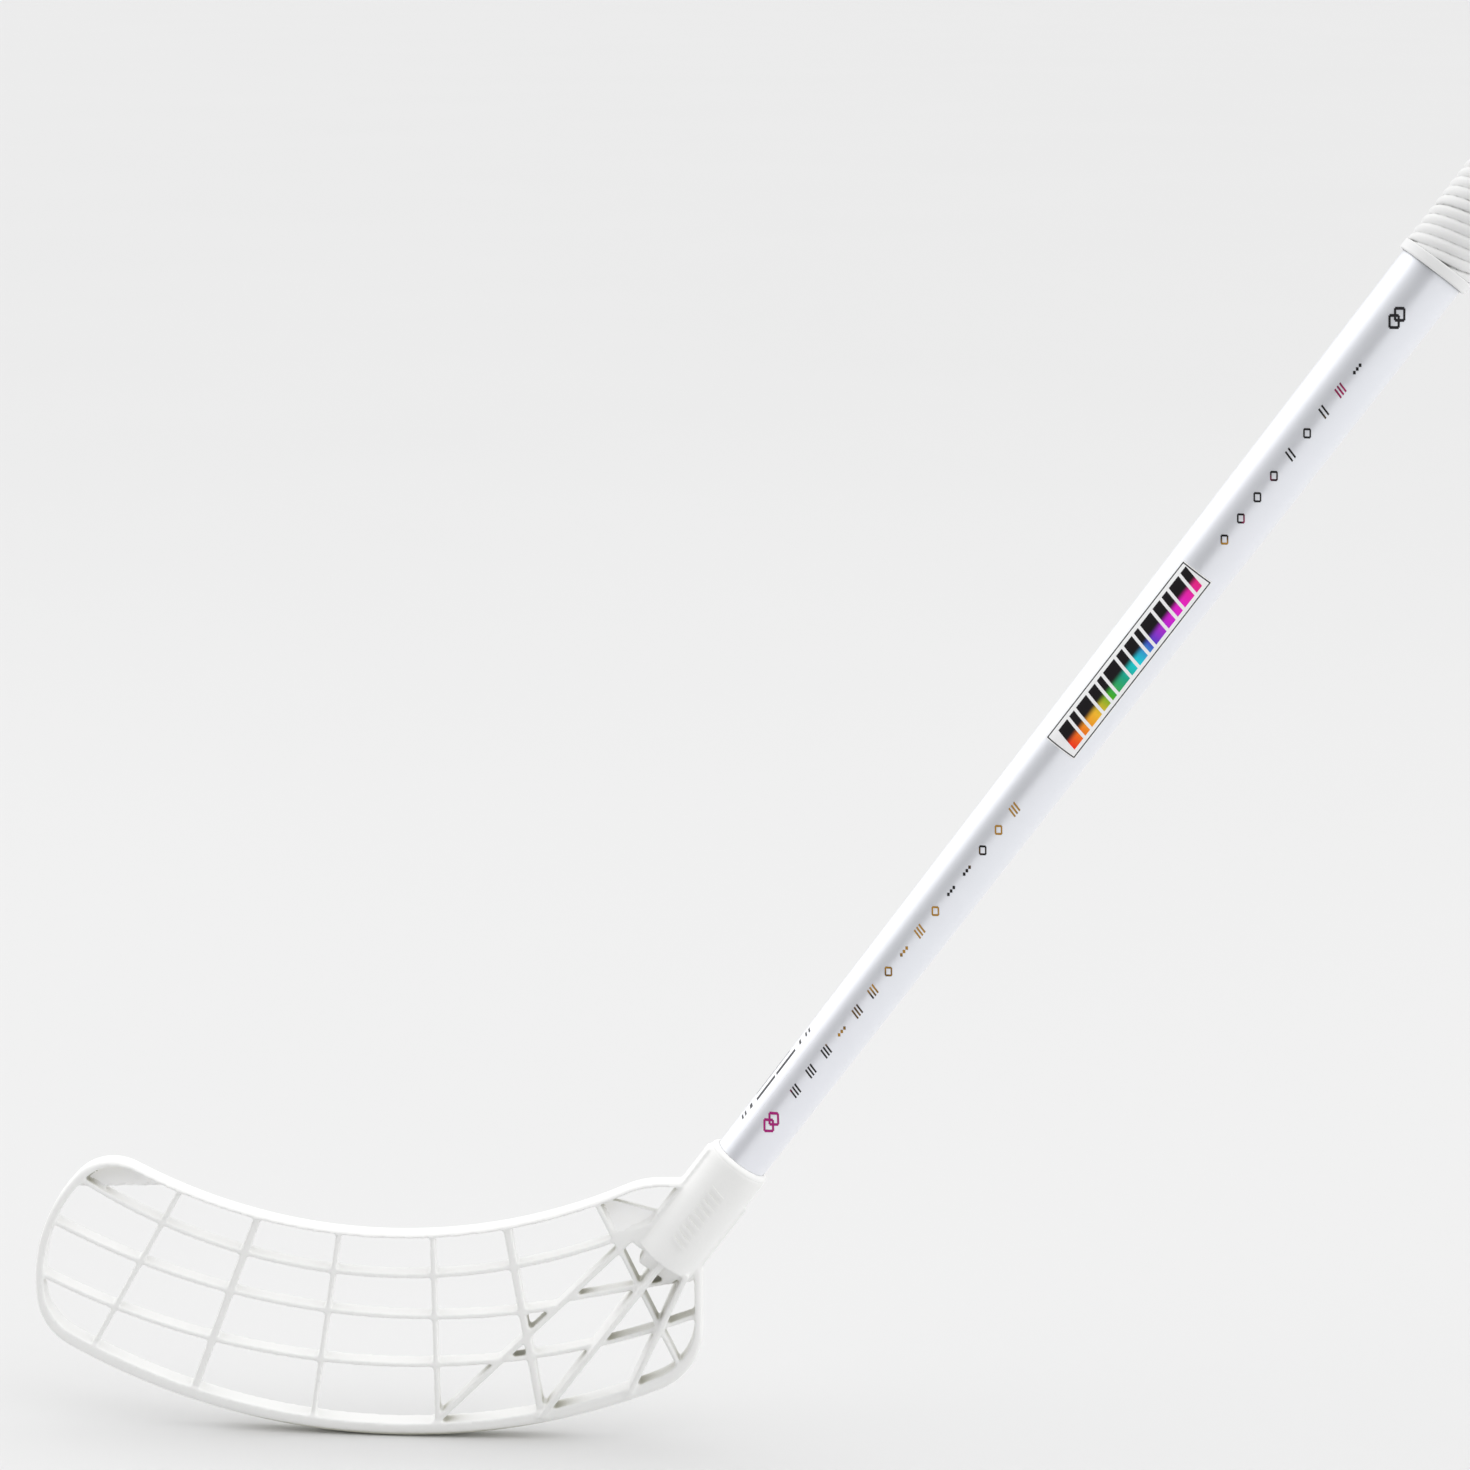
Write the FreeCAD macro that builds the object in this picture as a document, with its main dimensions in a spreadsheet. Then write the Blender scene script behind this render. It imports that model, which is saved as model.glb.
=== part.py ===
import FreeCAD, Part
import math
import os
import Sketcher
from FreeCAD import Vector

# A floorball stick held as in play: the shaft leans to the right in the XZ plane, the blade points to -X
# and its toe bends away towards +Y. The origin is on the shaft's axis, in the middle of the grip.
# Shaft pieces are drawn along their own Z axis and then leant over, with "station" as the distance from
# the tube's lower end. The blade is drawn round that lower end and then moved to it. Lengths are in mm.

SIZES = [
    # the stick as a whole
    ("lie_angle", 53.5, "shaft above the floor, degrees"),
    ("shaft_length", 870.0, "tube, end to end"),
    ("bare_length", 446.0, "tube between socket mouth and grip"),
    # the tube
    ("shaft_low_d", 22.4, "outside, at the blade"),
    ("shaft_high_d", 27.0, "outside, under the grip"),
    ("shaft_wall", 1.4, "wall of the tube"),
    ("taper_lead", 12.0, "straight tube above the socket mouth"),
    # the grip and its ring
    ("grip_d", 30.0, "outside of the wound strip"),
    ("grip_gap", 0.05, "between strip and tube, radial"),
    ("grip_end_gap", 0.3, "between strip and plug flange"),
    ("ring_width", 4.5, "elastic ring, along the shaft"),
    ("ring_d", 30.8, "elastic ring, outside"),
    ("ring_round", 0.9, "bevel on the ring's edges"),
    # the plug in the butt end
    ("plug_depth", 42.0, "spigot inside the tube"),
    ("plug_gap", 0.1, "between spigot and tube, radial"),
    ("plug_wall", 2.0, "wall of the spigot"),
    ("flange_height", 4.0, "plug outside the tube"),
    ("flange_inset", 0.3, "flange below the grip's surface, radial"),
    ("flange_bevel", 1.5, "bevel on the flange's edge"),
    # the blade's socket
    ("socket_depth", 50.0, "tube inside the socket"),
    ("socket_gap", 0.1, "between socket and tube, radial"),
    ("hosel_d", 26.8, "outside of the socket"),
    ("hosel_floor", 2.0, "full width below the tube's end"),
    ("hosel_tip_length", 9.0, "closed tip, along the shaft"),
    ("hosel_tip_width", 16.0, "small end of the tip, across the shaft"),
    ("hosel_tip_depth", 9.0, "small end of the tip, front to back"),
    ("lip_height", 1.6, "bevelled mouth, along the shaft"),
    ("lip_edge", 0.8, "wall at the mouth's edge"),
    ("fin_half_width", 14.0, "side fins, from the shaft's axis"),
    ("fin_left_drop", 3.0, "left fin's end below the mouth"),
    ("fin_right_drop", 15.0, "right fin's end below the mouth"),
    # the blade's outline, from the tube's lower end
    ("blade_depth", 10.0, "rim, front to back"),
    ("blade_reach", 261.6, "to the toe's tip"),
    ("hook_radius", 1750.0, "bend of the blade, seen from above"),
    ("hook_start", 15.0, "where the bend starts"),
    ("sole_x", -113.3, "lowest point of the sole"),
    ("sole_z", -79.6, "lowest point of the sole"),
    ("sole_radius", 289.4, "curve of the sole"),
    ("top_x", -112.5, "lowest point of the top edge"),
    ("top_z", 8.1, "lowest point of the top edge"),
    ("top_radius", 234.0, "curve of the top edge"),
    ("shoulder_z", 31.5, "level stretch where the top edge meets the socket"),
    ("shoulder_radius", 35.0, "curve of the top edge into that level stretch"),
    ("toe_z", -20.0, "height of the toe's tip"),
    ("toe_radius", 70.0, "curve of the toe"),
    ("toe_top_radius", 21.0, "upper corner of the toe"),
    ("toe_low_radius", 25.0, "lower corner of the toe"),
    ("heel_x", 14.3, "upright back edge of the heel"),
    ("heel_radius", 28.0, "lower corner of the heel"),
    ("edge_round", 2.4, "rounding of the outer edges"),
    ("top_rim", 2.0, "width of the rim along the top"),
    ("sole_rim", 5.6, "width of the rim along the sole"),
    ("toe_rim", 3.6, "width of the rim round the toe"),
    ("heel_rim", 3.4, "width of the rim at the heel"),
    # the ribs
    ("rib_depth", 8.4, "ribs, front to back"),
    ("rib_width", 2.1, "thin ribs"),
    ("heavy_rib_width", 3.2, "second and fifth cross ribs"),
    ("brace_width", 2.4, "braces below the socket"),
    ("brace_depth", 21.0, "braces at the socket, front to back"),
    ("web_depth", 3.0, "thickness of the webs in the corners"),
    ("web_lean", 25.0, "webs in the corners, back from the upright, degrees"),
    ("cross_z", -30.0, "height at which the cross ribs are set out"),
]

# Long ribs are arcs that hang below centres above the blade: lowest point and radius
LONG_RIBS = [
    ("long_1", -111.4, -10.2, 246.2),
    ("long_2", -104.4, -27.8, 330.3),
    ("long_3", -112.1, -48.7, 343.5),
]
# Cross ribs run from the top edge to the sole: place at cross_z, and lean to the right in degrees
CROSS_RIBS = [
    ("cross_1", -228.8, 29.2, "rib_width"),
    ("cross_2", -183.6, 20.7, "heavy_rib_width"),
    ("cross_3", -140.0, 9.0, "rib_width"),
    ("cross_4", -95.4, -0.6, "rib_width"),
    ("cross_5", -58.6, -9.3, "heavy_rib_width"),
    ("cross_6", -3.8, -25.5, "rib_width"),
]
# Braces fan out from the socket to the sole: place at cross_z, lean and height of the upper end
BRACES = [
    ("brace_1", -52.2, 45.1, 7.5),
    ("brace_2", -23.1, 36.2, -1.0),
    ("brace_3", -2.9, 24.1, -6.0),
]

SMALL_SIZES = [
    # the short rib between the first brace and the heel
    ("heel_rib_x", -41.0, "its left end"),
    ("heel_rib_z", -19.0, "its left end"),
    ("heel_rib_rise", 10.9, "its slope, degrees"),
    ("long_2_end", -43.5, "right end of the second long rib, in the same brace"),
    # the webs that close the toe's upper corner and the corner beside the socket
    ("toe_web_x", -235.0, "left end of the web's lower edge"),
    ("toe_web_z", 22.8, "left end of the web's lower edge"),
    ("toe_web_rise", 3.0, "slope of the web's lower edge, degrees"),
    ("side_web_left", 24.4, "upper edge of the web beside the socket, at the last rib"),
    ("side_web_right", 14.4, "the same edge, where it reaches the shaft's axis"),
    ("side_web_low", 6.0, "lower corner of the web beside the socket"),
    # the screws, which go in from the back
    ("screw_low", 16.0, "lower screw's station"),
    ("screw_high", 36.0, "upper screw's station"),
    ("screw_head_d", 7.0, "head"),
    ("screw_head_height", 2.2, "head"),
    ("screw_core_d", 2.5, "shank below the thread"),
    ("screw_crest_d", 3.5, "outside of the thread"),
    ("screw_length", 9.0, "below the head"),
    ("screw_point", 2.0, "pointed end"),
    ("screw_tip_d", 0.25, "blunt tip of the point"),
    ("thread_start", 0.75, "first thread ridge below the head"),
    ("screw_pitch", 1.25, "from one thread ridge to the next"),
    ("screw_gap", 0.1, "between thread and hole, radial"),
    ("drive_width", 1.1, "slots of the cross drive"),
    ("drive_length", 4.2, "slots of the cross drive"),
    ("drive_depth", 1.3, "slots of the cross drive"),
    ("boss_d", 10.4, "boss round each screw head"),
    ("boss_height", 2.4, "boss above the socket's outside"),
    ("seat_depth", 0.4, "head's seat below the socket's outside"),
    ("seat_gap", 0.3, "between head and boss, radial"),
    # the films on the tube
    ("film", 0.12, "thickness of a film"),
    ("film_gap", 0.03, "between film and tube"),
    ("label_station", 307.0, "middle of the framed label"),
    ("label_length", 88.0, "framed label"),
    ("label_width", 15.0, "framed label, round the tube"),
    ("label_turn", -12.0, "framed label, turned from the front, degrees"),
    ("side_station", 89.0, "middle of the small film"),
    ("side_length", 54.0, "small film"),
    ("side_width", 15.0, "small film, round the tube"),
    ("side_turn", -82.0, "small film, turned from the front, degrees"),
]


def rib_sizes():
    """Rows of the sheet for the three families of ribs"""
    rows = []
    for name, x, z, radius in LONG_RIBS:
        rows.append((name + "_x", x, "lowest point of this long rib"))
        rows.append((name + "_z", z, "lowest point of this long rib"))
        rows.append((name + "_radius", radius, "curve of this long rib"))
    for name, x, lean, width in CROSS_RIBS:
        rows.append((name + "_x", x, "place at cross_z"))
        rows.append((name + "_lean", lean, "lean to the right, degrees"))
    for name, x, lean, top in BRACES:
        rows.append((name + "_x", x, "place at cross_z"))
        rows.append((name + "_lean", lean, "lean to the right, degrees"))
        rows.append((name + "_top", top, "height of the upper end"))
    return rows


doc = FreeCAD.newDocument("FloorballStick")
sheet = doc.addObject("Spreadsheet::Sheet", "Sizes")
for row, (alias, value, note) in enumerate(SIZES + rib_sizes() + SMALL_SIZES, start=1):
    sheet.set(f"A{row}", alias)
    sheet.set(f"B{row}", str(value))
    sheet.set(f"C{row}", note)
    sheet.setAlias(f"B{row}", alias)
doc.recompute()


def size(alias):
    """A driving dimension's value"""
    return float(sheet.get(alias))


def cell(text):
    """An expression in which every $word stands for a cell of the sheet"""
    return text.replace("$", "Sizes.")


def value_of(text):
    """An expression's present value"""
    return float(sheet.evalExpression(cell(text)))


def bind(item, **expressions):
    for name, text in expressions.items():
        item.setExpression(name, cell(text))
    return item


def placed(x="0", y="0", z="0", axis="0; 1; 0", angle="0"):
    """A placement's expression: first turned about an axis through the origin, then moved"""
    return f"placement(vector({x}; {y}; {z}); rotation(vector({axis}); {angle}))"


# Stations along the shaft
GRIP_START = "($socket_depth + $bare_length + $ring_width)"
GRIP_END = "($shaft_length - $grip_end_gap)"
ORIGIN = f"(({GRIP_START} + {GRIP_END}) / 2)"
TAPER_START = "($socket_depth + $taper_lead)"
TAPER_END = "($socket_depth + $bare_length)"
SLOPE = f"(($shaft_high_d - $shaft_low_d) / 2 / ({TAPER_END} - {TAPER_START}))"

# Leaning pieces, and the move of the blade from the origin to the tube's lower end
LEAN = placed(angle="90 - $lie_angle")
LIE = "($lie_angle * 1 deg)"
TO_BLADE = placed(x=f"-{ORIGIN} * cos{LIE}", z=f"-{ORIGIN} * sin{LIE}")

# Front to back, enough to span the bent blade
SPAN = "(4 * $blade_depth + 2 * $blade_reach ^ 2 / $hook_radius)"


def along(station):
    """A station's height above the origin, on an upright shaft"""
    return f"({station} - {ORIGIN})"


def tube_radius(station):
    """The tube's outside on its tapered stretch"""
    return f"($shaft_low_d / 2 + {SLOPE} * ({station} - {TAPER_START}))"


def sketch_on(body, name, role):
    sketch = body.newObject("Sketcher::SketchObject", name)
    plane = next(item for item in body.Origin.OriginFeatures if item.Role == role)
    sketch.AttachmentSupport = [(plane, "")]
    sketch.MapMode = "FlatFace"
    return sketch


def fix(sketch, kind, name, text, *where):
    """One named size in a sketch, bound to an expression"""
    index = sketch.addConstraint(Sketcher.Constraint(kind, *where, value_of(text)))
    sketch.renameConstraint(index, name)
    sketch.setExpression(f"Constraints.{name}", cell(text))


def fix_point(sketch, name, geometry, point, across, up):
    """A point of a sketch, bound to a pair of expressions; "0" across means on the upright axis"""
    if across == "0":
        sketch.addConstraint(Sketcher.Constraint("PointOnObject", geometry, point, -2))
    else:
        fix(sketch, "DistanceX", name + "_across", across, geometry, point)
    fix(sketch, "DistanceY", name + "_up", up, geometry, point)


def polygon(sketch, corners):
    """A closed chain of straight lines through corners given as pairs of expressions"""
    points = [Vector(value_of(across), value_of(up), 0) for across, up in corners]
    count = len(points)
    for n in range(count):
        sketch.addGeometry(Part.LineSegment(points[n], points[(n + 1) % count]), False)
    for n in range(count):
        sketch.addConstraint(Sketcher.Constraint("Coincident", n, 2, (n + 1) % count, 1))
    for n, (across, up) in enumerate(corners):
        fix_point(sketch, f"corner_{n}", n, 1, across, up)


def turned(name, corners, role="XZ_Plane", angle="360", place=LEAN):
    """A body turned about the shaft's axis from a profile of (radius, height) corners"""
    body = doc.addObject("PartDesign::Body", name)
    sketch = sketch_on(body, name + "_profile", role)
    polygon(sketch, corners)
    turn = body.newObject("PartDesign::Revolution", name + "_turned")
    turn.Profile = sketch
    turn.ReferenceAxis = (sketch, ["V_Axis"])
    turn.Midplane = True
    bind(turn, Angle=angle)
    return bind(body, Placement=place)


def merged(name, parts):
    item = doc.addObject("Part::MultiFuse", name)
    item.Shapes = parts
    return item


def shared(name, first, second):
    item = doc.addObject("Part::Common", name)
    item.Base = first
    item.Tool = second
    return item


def cut(name, base, tool):
    item = doc.addObject("Part::Cut", name)
    item.Base = base
    item.Tool = tool
    return item


def round_bar(name, diameter, length, place):
    bar = doc.addObject("Part::Cylinder", name)
    return bind(bar, Radius=f"({diameter}) / 2", Height=length, Placement=place)


def block(name, x, y, z, place):
    """A block between pairs of expressions along its own axes"""
    item = doc.addObject("Part::Wedge", name)
    bind(item, Xmin=x[0], Xmax=x[1], X2min=x[0], X2max=x[1], Ymin=y[0], Ymax=y[1])
    return bind(item, Zmin=z[0], Zmax=z[1], Z2min=z[0], Z2max=z[1], Placement=place)


def both_ways(text):
    """A pair of expressions, half of a width to each side"""
    return f"-({text}) / 2", f"({text}) / 2"


# The tube, with a hole in its back for each screw
SCREWS = ("screw_low", "screw_high")
HOLE = "$screw_crest_d + 2 * $screw_gap"


def shaft_tube():
    outside = [("$shaft_low_d / 2", "0"), ("$shaft_low_d / 2", TAPER_START),
               ("$shaft_high_d / 2", TAPER_END), ("$shaft_high_d / 2", "$shaft_length")]
    inside = [(f"{radius} - $shaft_wall", station) for radius, station in reversed(outside)]
    corners = [(radius, along(station)) for radius, station in outside + inside]
    tube = turned("tube", corners, place=placed())
    holes = []
    for screw in SCREWS:
        place = placed(z=along(f"${screw}"), axis="1; 0; 0", angle="-90")
        holes.append(round_bar(screw + "_tube_hole", HOLE, "$shaft_low_d", place))
    tube = cut("drilled_tube", tube, merged("tube_holes", holes))
    return bind(tube, Placement=LEAN)


# The pieces round the upper end of the tube
UNDER_GRIP = "$shaft_high_d / 2 + $grip_gap"


def grip_wrap():
    low, high = along(GRIP_START), along(GRIP_END)
    corners = [(UNDER_GRIP, low), ("$grip_d / 2", low), ("$grip_d / 2", high), (UNDER_GRIP, high)]
    return turned("strip", corners)


def grip_end_ring():
    low, high = along(TAPER_END), along(GRIP_START)
    outer, bevel = "$ring_d / 2", "$ring_round"
    corners = [(UNDER_GRIP, low), (f"{outer} - {bevel}", low), (outer, f"{low} + {bevel}"),
               (outer, f"{high} - {bevel}"), (f"{outer} - {bevel}", high), (UNDER_GRIP, high)]
    return turned("elastic_ring", corners)


def end_plug():
    spigot = "($shaft_high_d / 2 - $shaft_wall - $plug_gap)"
    hollow = f"({spigot} - $plug_wall)"
    flange = "($grip_d / 2 - $flange_inset)"
    foot, seat = along("($shaft_length - $plug_depth)"), along("$shaft_length")
    top = along("($shaft_length + $flange_height)")
    corners = [(hollow, foot), (spigot, foot), (spigot, seat), (flange, seat),
               (flange, f"{top} - $flange_bevel"), (f"{flange} - $flange_bevel", top),
               ("0", top), ("0", seat), (hollow, seat)]
    return turned("plug", corners)


def sticker(name, kind):
    """A thin film that lies on the tube's taper"""
    low = f"(${kind}_station - ${kind}_length / 2)"
    high = f"(${kind}_station + ${kind}_length / 2)"
    corners = []
    for station, lift in ((low, "$film_gap"), (low, "$film_gap + $film"),
                          (high, "$film_gap + $film"), (high, "$film_gap")):
        corners.append((f"-({tube_radius(station)} + {lift})", along(station)))
    angle = f"${kind}_width / {tube_radius(f'${kind}_station')} * 180 / pi"
    turn = placed(axis="0; 0; 1", angle=f"${kind}_turn")
    return turned(name, corners, role="YZ_Plane", angle=angle, place=f"{LEAN} * {turn}")


# The screws, drawn upright with the head's underside at the origin
SEAT_Y = "($hosel_d / 2 - $seat_depth)"


def screw_seat(screw):
    """Where a screw's head sits, from the tube's lower end"""
    return f"${screw} * cos{LIE}", SEAT_Y, f"${screw} * sin{LIE}"


def screw(name):
    head = round_bar(name + "_head", "$screw_head_d", "$screw_head_height", placed())
    shank = "$screw_length - $screw_point"
    core = round_bar(name + "_core", "$screw_core_d", shank, placed(z=f"-({shank})"))
    tip = doc.addObject("Part::Cone", name + "_tip")
    bind(tip, Radius1="$screw_tip_d / 2", Radius2="$screw_core_d / 2", Height="$screw_point")
    bind(tip, Placement=placed(z="-$screw_length"))
    solids = [head, core, tip]
    ridges = int((size("screw_length") - size("screw_point")) / size("screw_pitch"))
    for n in range(ridges):
        level = f"-($thread_start + {n} * $screw_pitch)"
        for side, turn in (("upper", "0"), ("lower", "180")):
            ridge = doc.addObject("Part::Cone", f"{name}_ridge_{n}_{side}")
            bind(ridge, Radius1="$screw_crest_d / 2", Radius2="$screw_core_d / 2 - $screw_gap")
            bind(ridge, Height="$screw_pitch / 2")
            bind(ridge, Placement=placed(z=level, axis="1; 0; 0", angle=turn))
            solids.append(ridge)
    slots = []
    for n, turn in enumerate(("0", "90")):
        length, width = both_ways("$drive_length"), both_ways("$drive_width")
        level = ("$screw_head_height - $drive_depth", "$screw_head_height + $drive_depth")
        place = placed(axis="0; 0; 1", angle=turn)
        slots.append(block(f"{name}_slot_{n}", length, width, level, place))
    done = cut(name + "_driven", merged(name + "_solids", solids), merged(name + "_slots", slots))
    x, y, z = screw_seat(name)
    return bind(done, Placement=f"{TO_BLADE} * {placed(x, y, z, axis='1; 0; 0', angle='-90')}")


# The blade's outline: arcs that run into each other from the socket along the top, round the toe,
# along the sole and up the heel. Narrowed by a share of the rim's widths, it also bounds the windows.
TOP, SHOULDER, LEVEL, INSIDE, HEEL, HEEL_CORNER, SOLE, TOE_LOW, TOE, TOE_TOP = range(10)


def meeting(a, reach_a, b, reach_b, side):
    """The point at two distances from two centres, on one side of the line between them"""
    line = b - a
    gap = line.Length
    run = (gap * gap + reach_a * reach_a - reach_b * reach_b) / (2 * gap)
    rise = math.sqrt(reach_a * reach_a - run * run)
    line.normalize()
    return a + line * run + Vector(-line.y, line.x, 0) * rise * side


def arc_between(centre, radius, start, end):
    """An arc anticlockwise from the direction of one point to the direction of another"""
    first = math.atan2(start.y - centre.y, start.x - centre.x)
    last = math.atan2(end.y - centre.y, end.x - centre.x)
    return Part.ArcOfCircle(Part.Circle(centre, Vector(0, 0, 1), radius), first, last)


def outline(name, share):
    radius = {
        TOP: f"$top_radius + {share} * $top_rim",
        SHOULDER: f"$shoulder_radius - {share} * $top_rim",
        SOLE: f"$sole_radius - {share} * $sole_rim",
        TOE: f"$toe_radius - {share} * $toe_rim",
        TOE_TOP: f"$toe_top_radius - {share} * $toe_rim",
        TOE_LOW: f"$toe_low_radius - {share} * $toe_rim",
        HEEL_CORNER: f"$heel_radius - {share} * $heel_rim",
    }
    centre = {
        TOP: ("$top_x", "$top_z + $top_radius"),
        SOLE: ("$sole_x", "$sole_z + $sole_radius"),
        TOE: ("$toe_radius - $blade_reach", "$toe_z"),
    }
    heel = f"($heel_x - {share} * $heel_rim)"
    shoulder = f"($shoulder_z - {share} * $top_rim)"
    shoulder_end = (f"{shoulder} / tan{LIE}", shoulder)
    heel_end = (heel, f"{heel} * tan{LIE}")

    r = {arc: value_of(text) for arc, text in radius.items()}
    c = {arc: Vector(value_of(x), value_of(z), 0) for arc, (x, z) in centre.items()}
    c[TOE_TOP] = meeting(c[TOP], r[TOP] + r[TOE_TOP], c[TOE], r[TOE] - r[TOE_TOP], -1)
    c[TOE_LOW] = meeting(c[SOLE], r[SOLE] - r[TOE_LOW], c[TOE], r[TOE] - r[TOE_LOW], -1)
    corner_x = value_of(heel) - r[HEEL_CORNER]
    corner_reach = r[SOLE] - r[HEEL_CORNER]
    corner_drop = math.sqrt(corner_reach ** 2 - (corner_x - c[SOLE].x) ** 2)
    c[HEEL_CORNER] = Vector(corner_x, c[SOLE].y - corner_drop, 0)
    level = value_of(shoulder)
    shoulder_rise = c[TOP].y - (level - r[SHOULDER])
    shoulder_run = math.sqrt((r[TOP] + r[SHOULDER]) ** 2 - shoulder_rise ** 2)
    c[SHOULDER] = c[TOP] + Vector(shoulder_run, -shoulder_rise, 0)
    crest = c[SHOULDER] + Vector(0, r[SHOULDER], 0)
    axis_high = Vector(value_of(shoulder_end[0]), level, 0)
    axis_low = Vector(value_of(heel_end[0]), value_of(heel_end[1]), 0)
    heel_foot = c[HEEL_CORNER] + Vector(r[HEEL_CORNER], 0, 0)

    def beyond(start, end):
        return end + (end - start)

    body = doc.addObject("PartDesign::Body", name)
    sketch = sketch_on(body, name + "_sketch", "XZ_Plane")
    toe_low_start = beyond(c[TOE], c[TOE_LOW])
    toe_low_end = beyond(c[SOLE], c[TOE_LOW])
    toe_top_end = beyond(c[TOE], c[TOE_TOP])
    sole_end = beyond(c[SOLE], c[HEEL_CORNER])
    sketch.addGeometry(arc_between(c[TOP], r[TOP], c[TOE_TOP], c[SHOULDER]), False)
    sketch.addGeometry(arc_between(c[SHOULDER], r[SHOULDER], crest, c[TOP]), False)
    sketch.addGeometry(Part.LineSegment(crest, axis_high), False)
    sketch.addGeometry(Part.LineSegment(axis_high, axis_low), False)
    sketch.addGeometry(Part.LineSegment(axis_low, heel_foot), False)
    sketch.addGeometry(arc_between(c[HEEL_CORNER], r[HEEL_CORNER], sole_end, heel_foot), False)
    sketch.addGeometry(arc_between(c[SOLE], r[SOLE], toe_low_end, sole_end), False)
    sketch.addGeometry(arc_between(c[TOE_LOW], r[TOE_LOW], toe_low_start, toe_low_end), False)
    sketch.addGeometry(arc_between(c[TOE], r[TOE], toe_top_end, toe_low_start), False)
    sketch.addGeometry(arc_between(c[TOE_TOP], r[TOE_TOP], c[TOP], toe_top_end), False)
    for first, first_end, second, second_end in (
        (TOP, 2, SHOULDER, 2), (SHOULDER, 1, LEVEL, 1), (TOP, 1, TOE_TOP, 1),
        (TOE_TOP, 2, TOE, 1), (TOE, 2, TOE_LOW, 1), (TOE_LOW, 2, SOLE, 1),
        (SOLE, 2, HEEL_CORNER, 1), (HEEL_CORNER, 2, HEEL, 2),
    ):
        sketch.addConstraint(Sketcher.Constraint("Tangent", first, first_end, second, second_end))
    for first, second in ((LEVEL, INSIDE), (INSIDE, HEEL)):
        sketch.addConstraint(Sketcher.Constraint("Coincident", first, 2, second, 1))
    sketch.addConstraint(Sketcher.Constraint("Horizontal", LEVEL))
    sketch.addConstraint(Sketcher.Constraint("Vertical", HEEL))
    for arc, text in radius.items():
        fix(sketch, "Radius", f"radius_{arc}", text, arc)
    for arc, (x, z) in centre.items():
        fix_point(sketch, f"centre_{arc}", arc, 3, x, z)
    fix_point(sketch, "shoulder_end", LEVEL, 2, *shoulder_end)
    fix_point(sketch, "heel_end", HEEL, 1, *heel_end)
    pad = body.newObject("PartDesign::Pad", name + "_pad")
    pad.Profile = sketch
    pad.SideType = "Symmetric"
    bind(pad, Length=SPAN)
    return body


def bent_slab(name, depth, lean="0", pivot="0"):
    """A slab of even depth, bent round an axis behind the blade that leans about a pivot's height"""
    rounds = []
    tilt = placed(z=pivot, axis="1; 0; 0", angle=f"-{lean}")
    for side, sign in (("outer", "+"), ("inner", "-")):
        place = f"{tilt} * {placed('$hook_start', '$hook_radius', '2 * $sole_z')}"
        diameter = f"2 * $hook_radius {sign} {depth}"
        rounds.append(round_bar(f"{name}_{side}", diameter, "-4 * $sole_z", place))
    return cut(name, *rounds)


def long_rib(name):
    """An arc-shaped rib: a ring about an axis that runs from front to back"""
    rings = []
    height = f"${name}_z + ${name}_radius"
    place = placed(f"${name}_x", f"{SPAN} / 2", height, axis="1; 0; 0", angle="90")
    for side, sign in (("outer", "+"), ("inner", "-")):
        diameter = f"2 * ${name}_radius {sign} $rib_width"
        rings.append(round_bar(f"{name}_{side}", diameter, SPAN, place))
    return cut(name, *rings)


def cross_rib(name, width, top="$shoulder_z"):
    """A straight rib from a given height down past the sole"""
    lean = f"(${name}_lean * 1 deg)"
    heights = (f"($sole_z - $cross_z) / cos{lean}", f"({top} - $cross_z) / cos{lean}")
    place = placed(f"${name}_x", "0", "$cross_z", angle=f"${name}_lean")
    return block(name, both_ways(width), both_ways(SPAN), heights, place)


def deep_brace(name):
    """A brace nearly as deep as the socket at its upper end and as deep as the ribs at the sole"""
    lean = f"(${name}_lean * 1 deg)"
    item = doc.addObject("Part::Wedge", name)
    left, right = both_ways("$brace_width")
    sole_front, sole_back = both_ways("$rib_depth")
    top_front, top_back = both_ways("$brace_depth")
    bind(item, Xmin=left, Xmax=right, X2min=left, X2max=right)
    bind(item, Ymin=f"($sole_z - $cross_z) / cos{lean}", Ymax=f"(${name}_top - $cross_z) / cos{lean}")
    bind(item, Zmin=sole_front, Zmax=sole_back, Z2min=top_front, Z2max=top_back)
    upright = placed(axis="1; 0; 0", angle="90")
    turn = placed(f"${name}_x", "0", "$cross_z", angle=f"${name}_lean")
    return bind(item, Placement=f"{turn} * {upright}")


def lattice(bed):
    """All the ribs as deep as the lattice, held inside the rim"""
    long_2 = long_rib("long_2")
    reach = ("-2 * $blade_reach", "$long_2_end")
    height = ("2 * $sole_z", "-2 * $sole_z")
    long_2_stretch = block("long_2_stretch", reach, both_ways(SPAN), height, placed())
    ribs = [long_rib("long_1"), shared("long_2_left", long_2, long_2_stretch), long_rib("long_3")]
    for name, x, lean, width in CROSS_RIBS:
        ribs.append(cross_rib(name, f"${width}"))
    ribs.append(cross_rib("brace_1", "$brace_width", top="$brace_1_top"))
    run = ("0", "2 * ($heel_x - $heel_rib_x)")
    place = placed("$heel_rib_x", "0", "$heel_rib_z", angle="-$heel_rib_rise")
    ribs.append(block("heel_rib", run, both_ways(SPAN), both_ways("$rib_width"), place))
    layer = shared("lattice_layer", bed, bent_slab("lattice_slab", "$rib_depth"))
    return shared("lattice", merged("all_ribs", ribs), layer)


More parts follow.
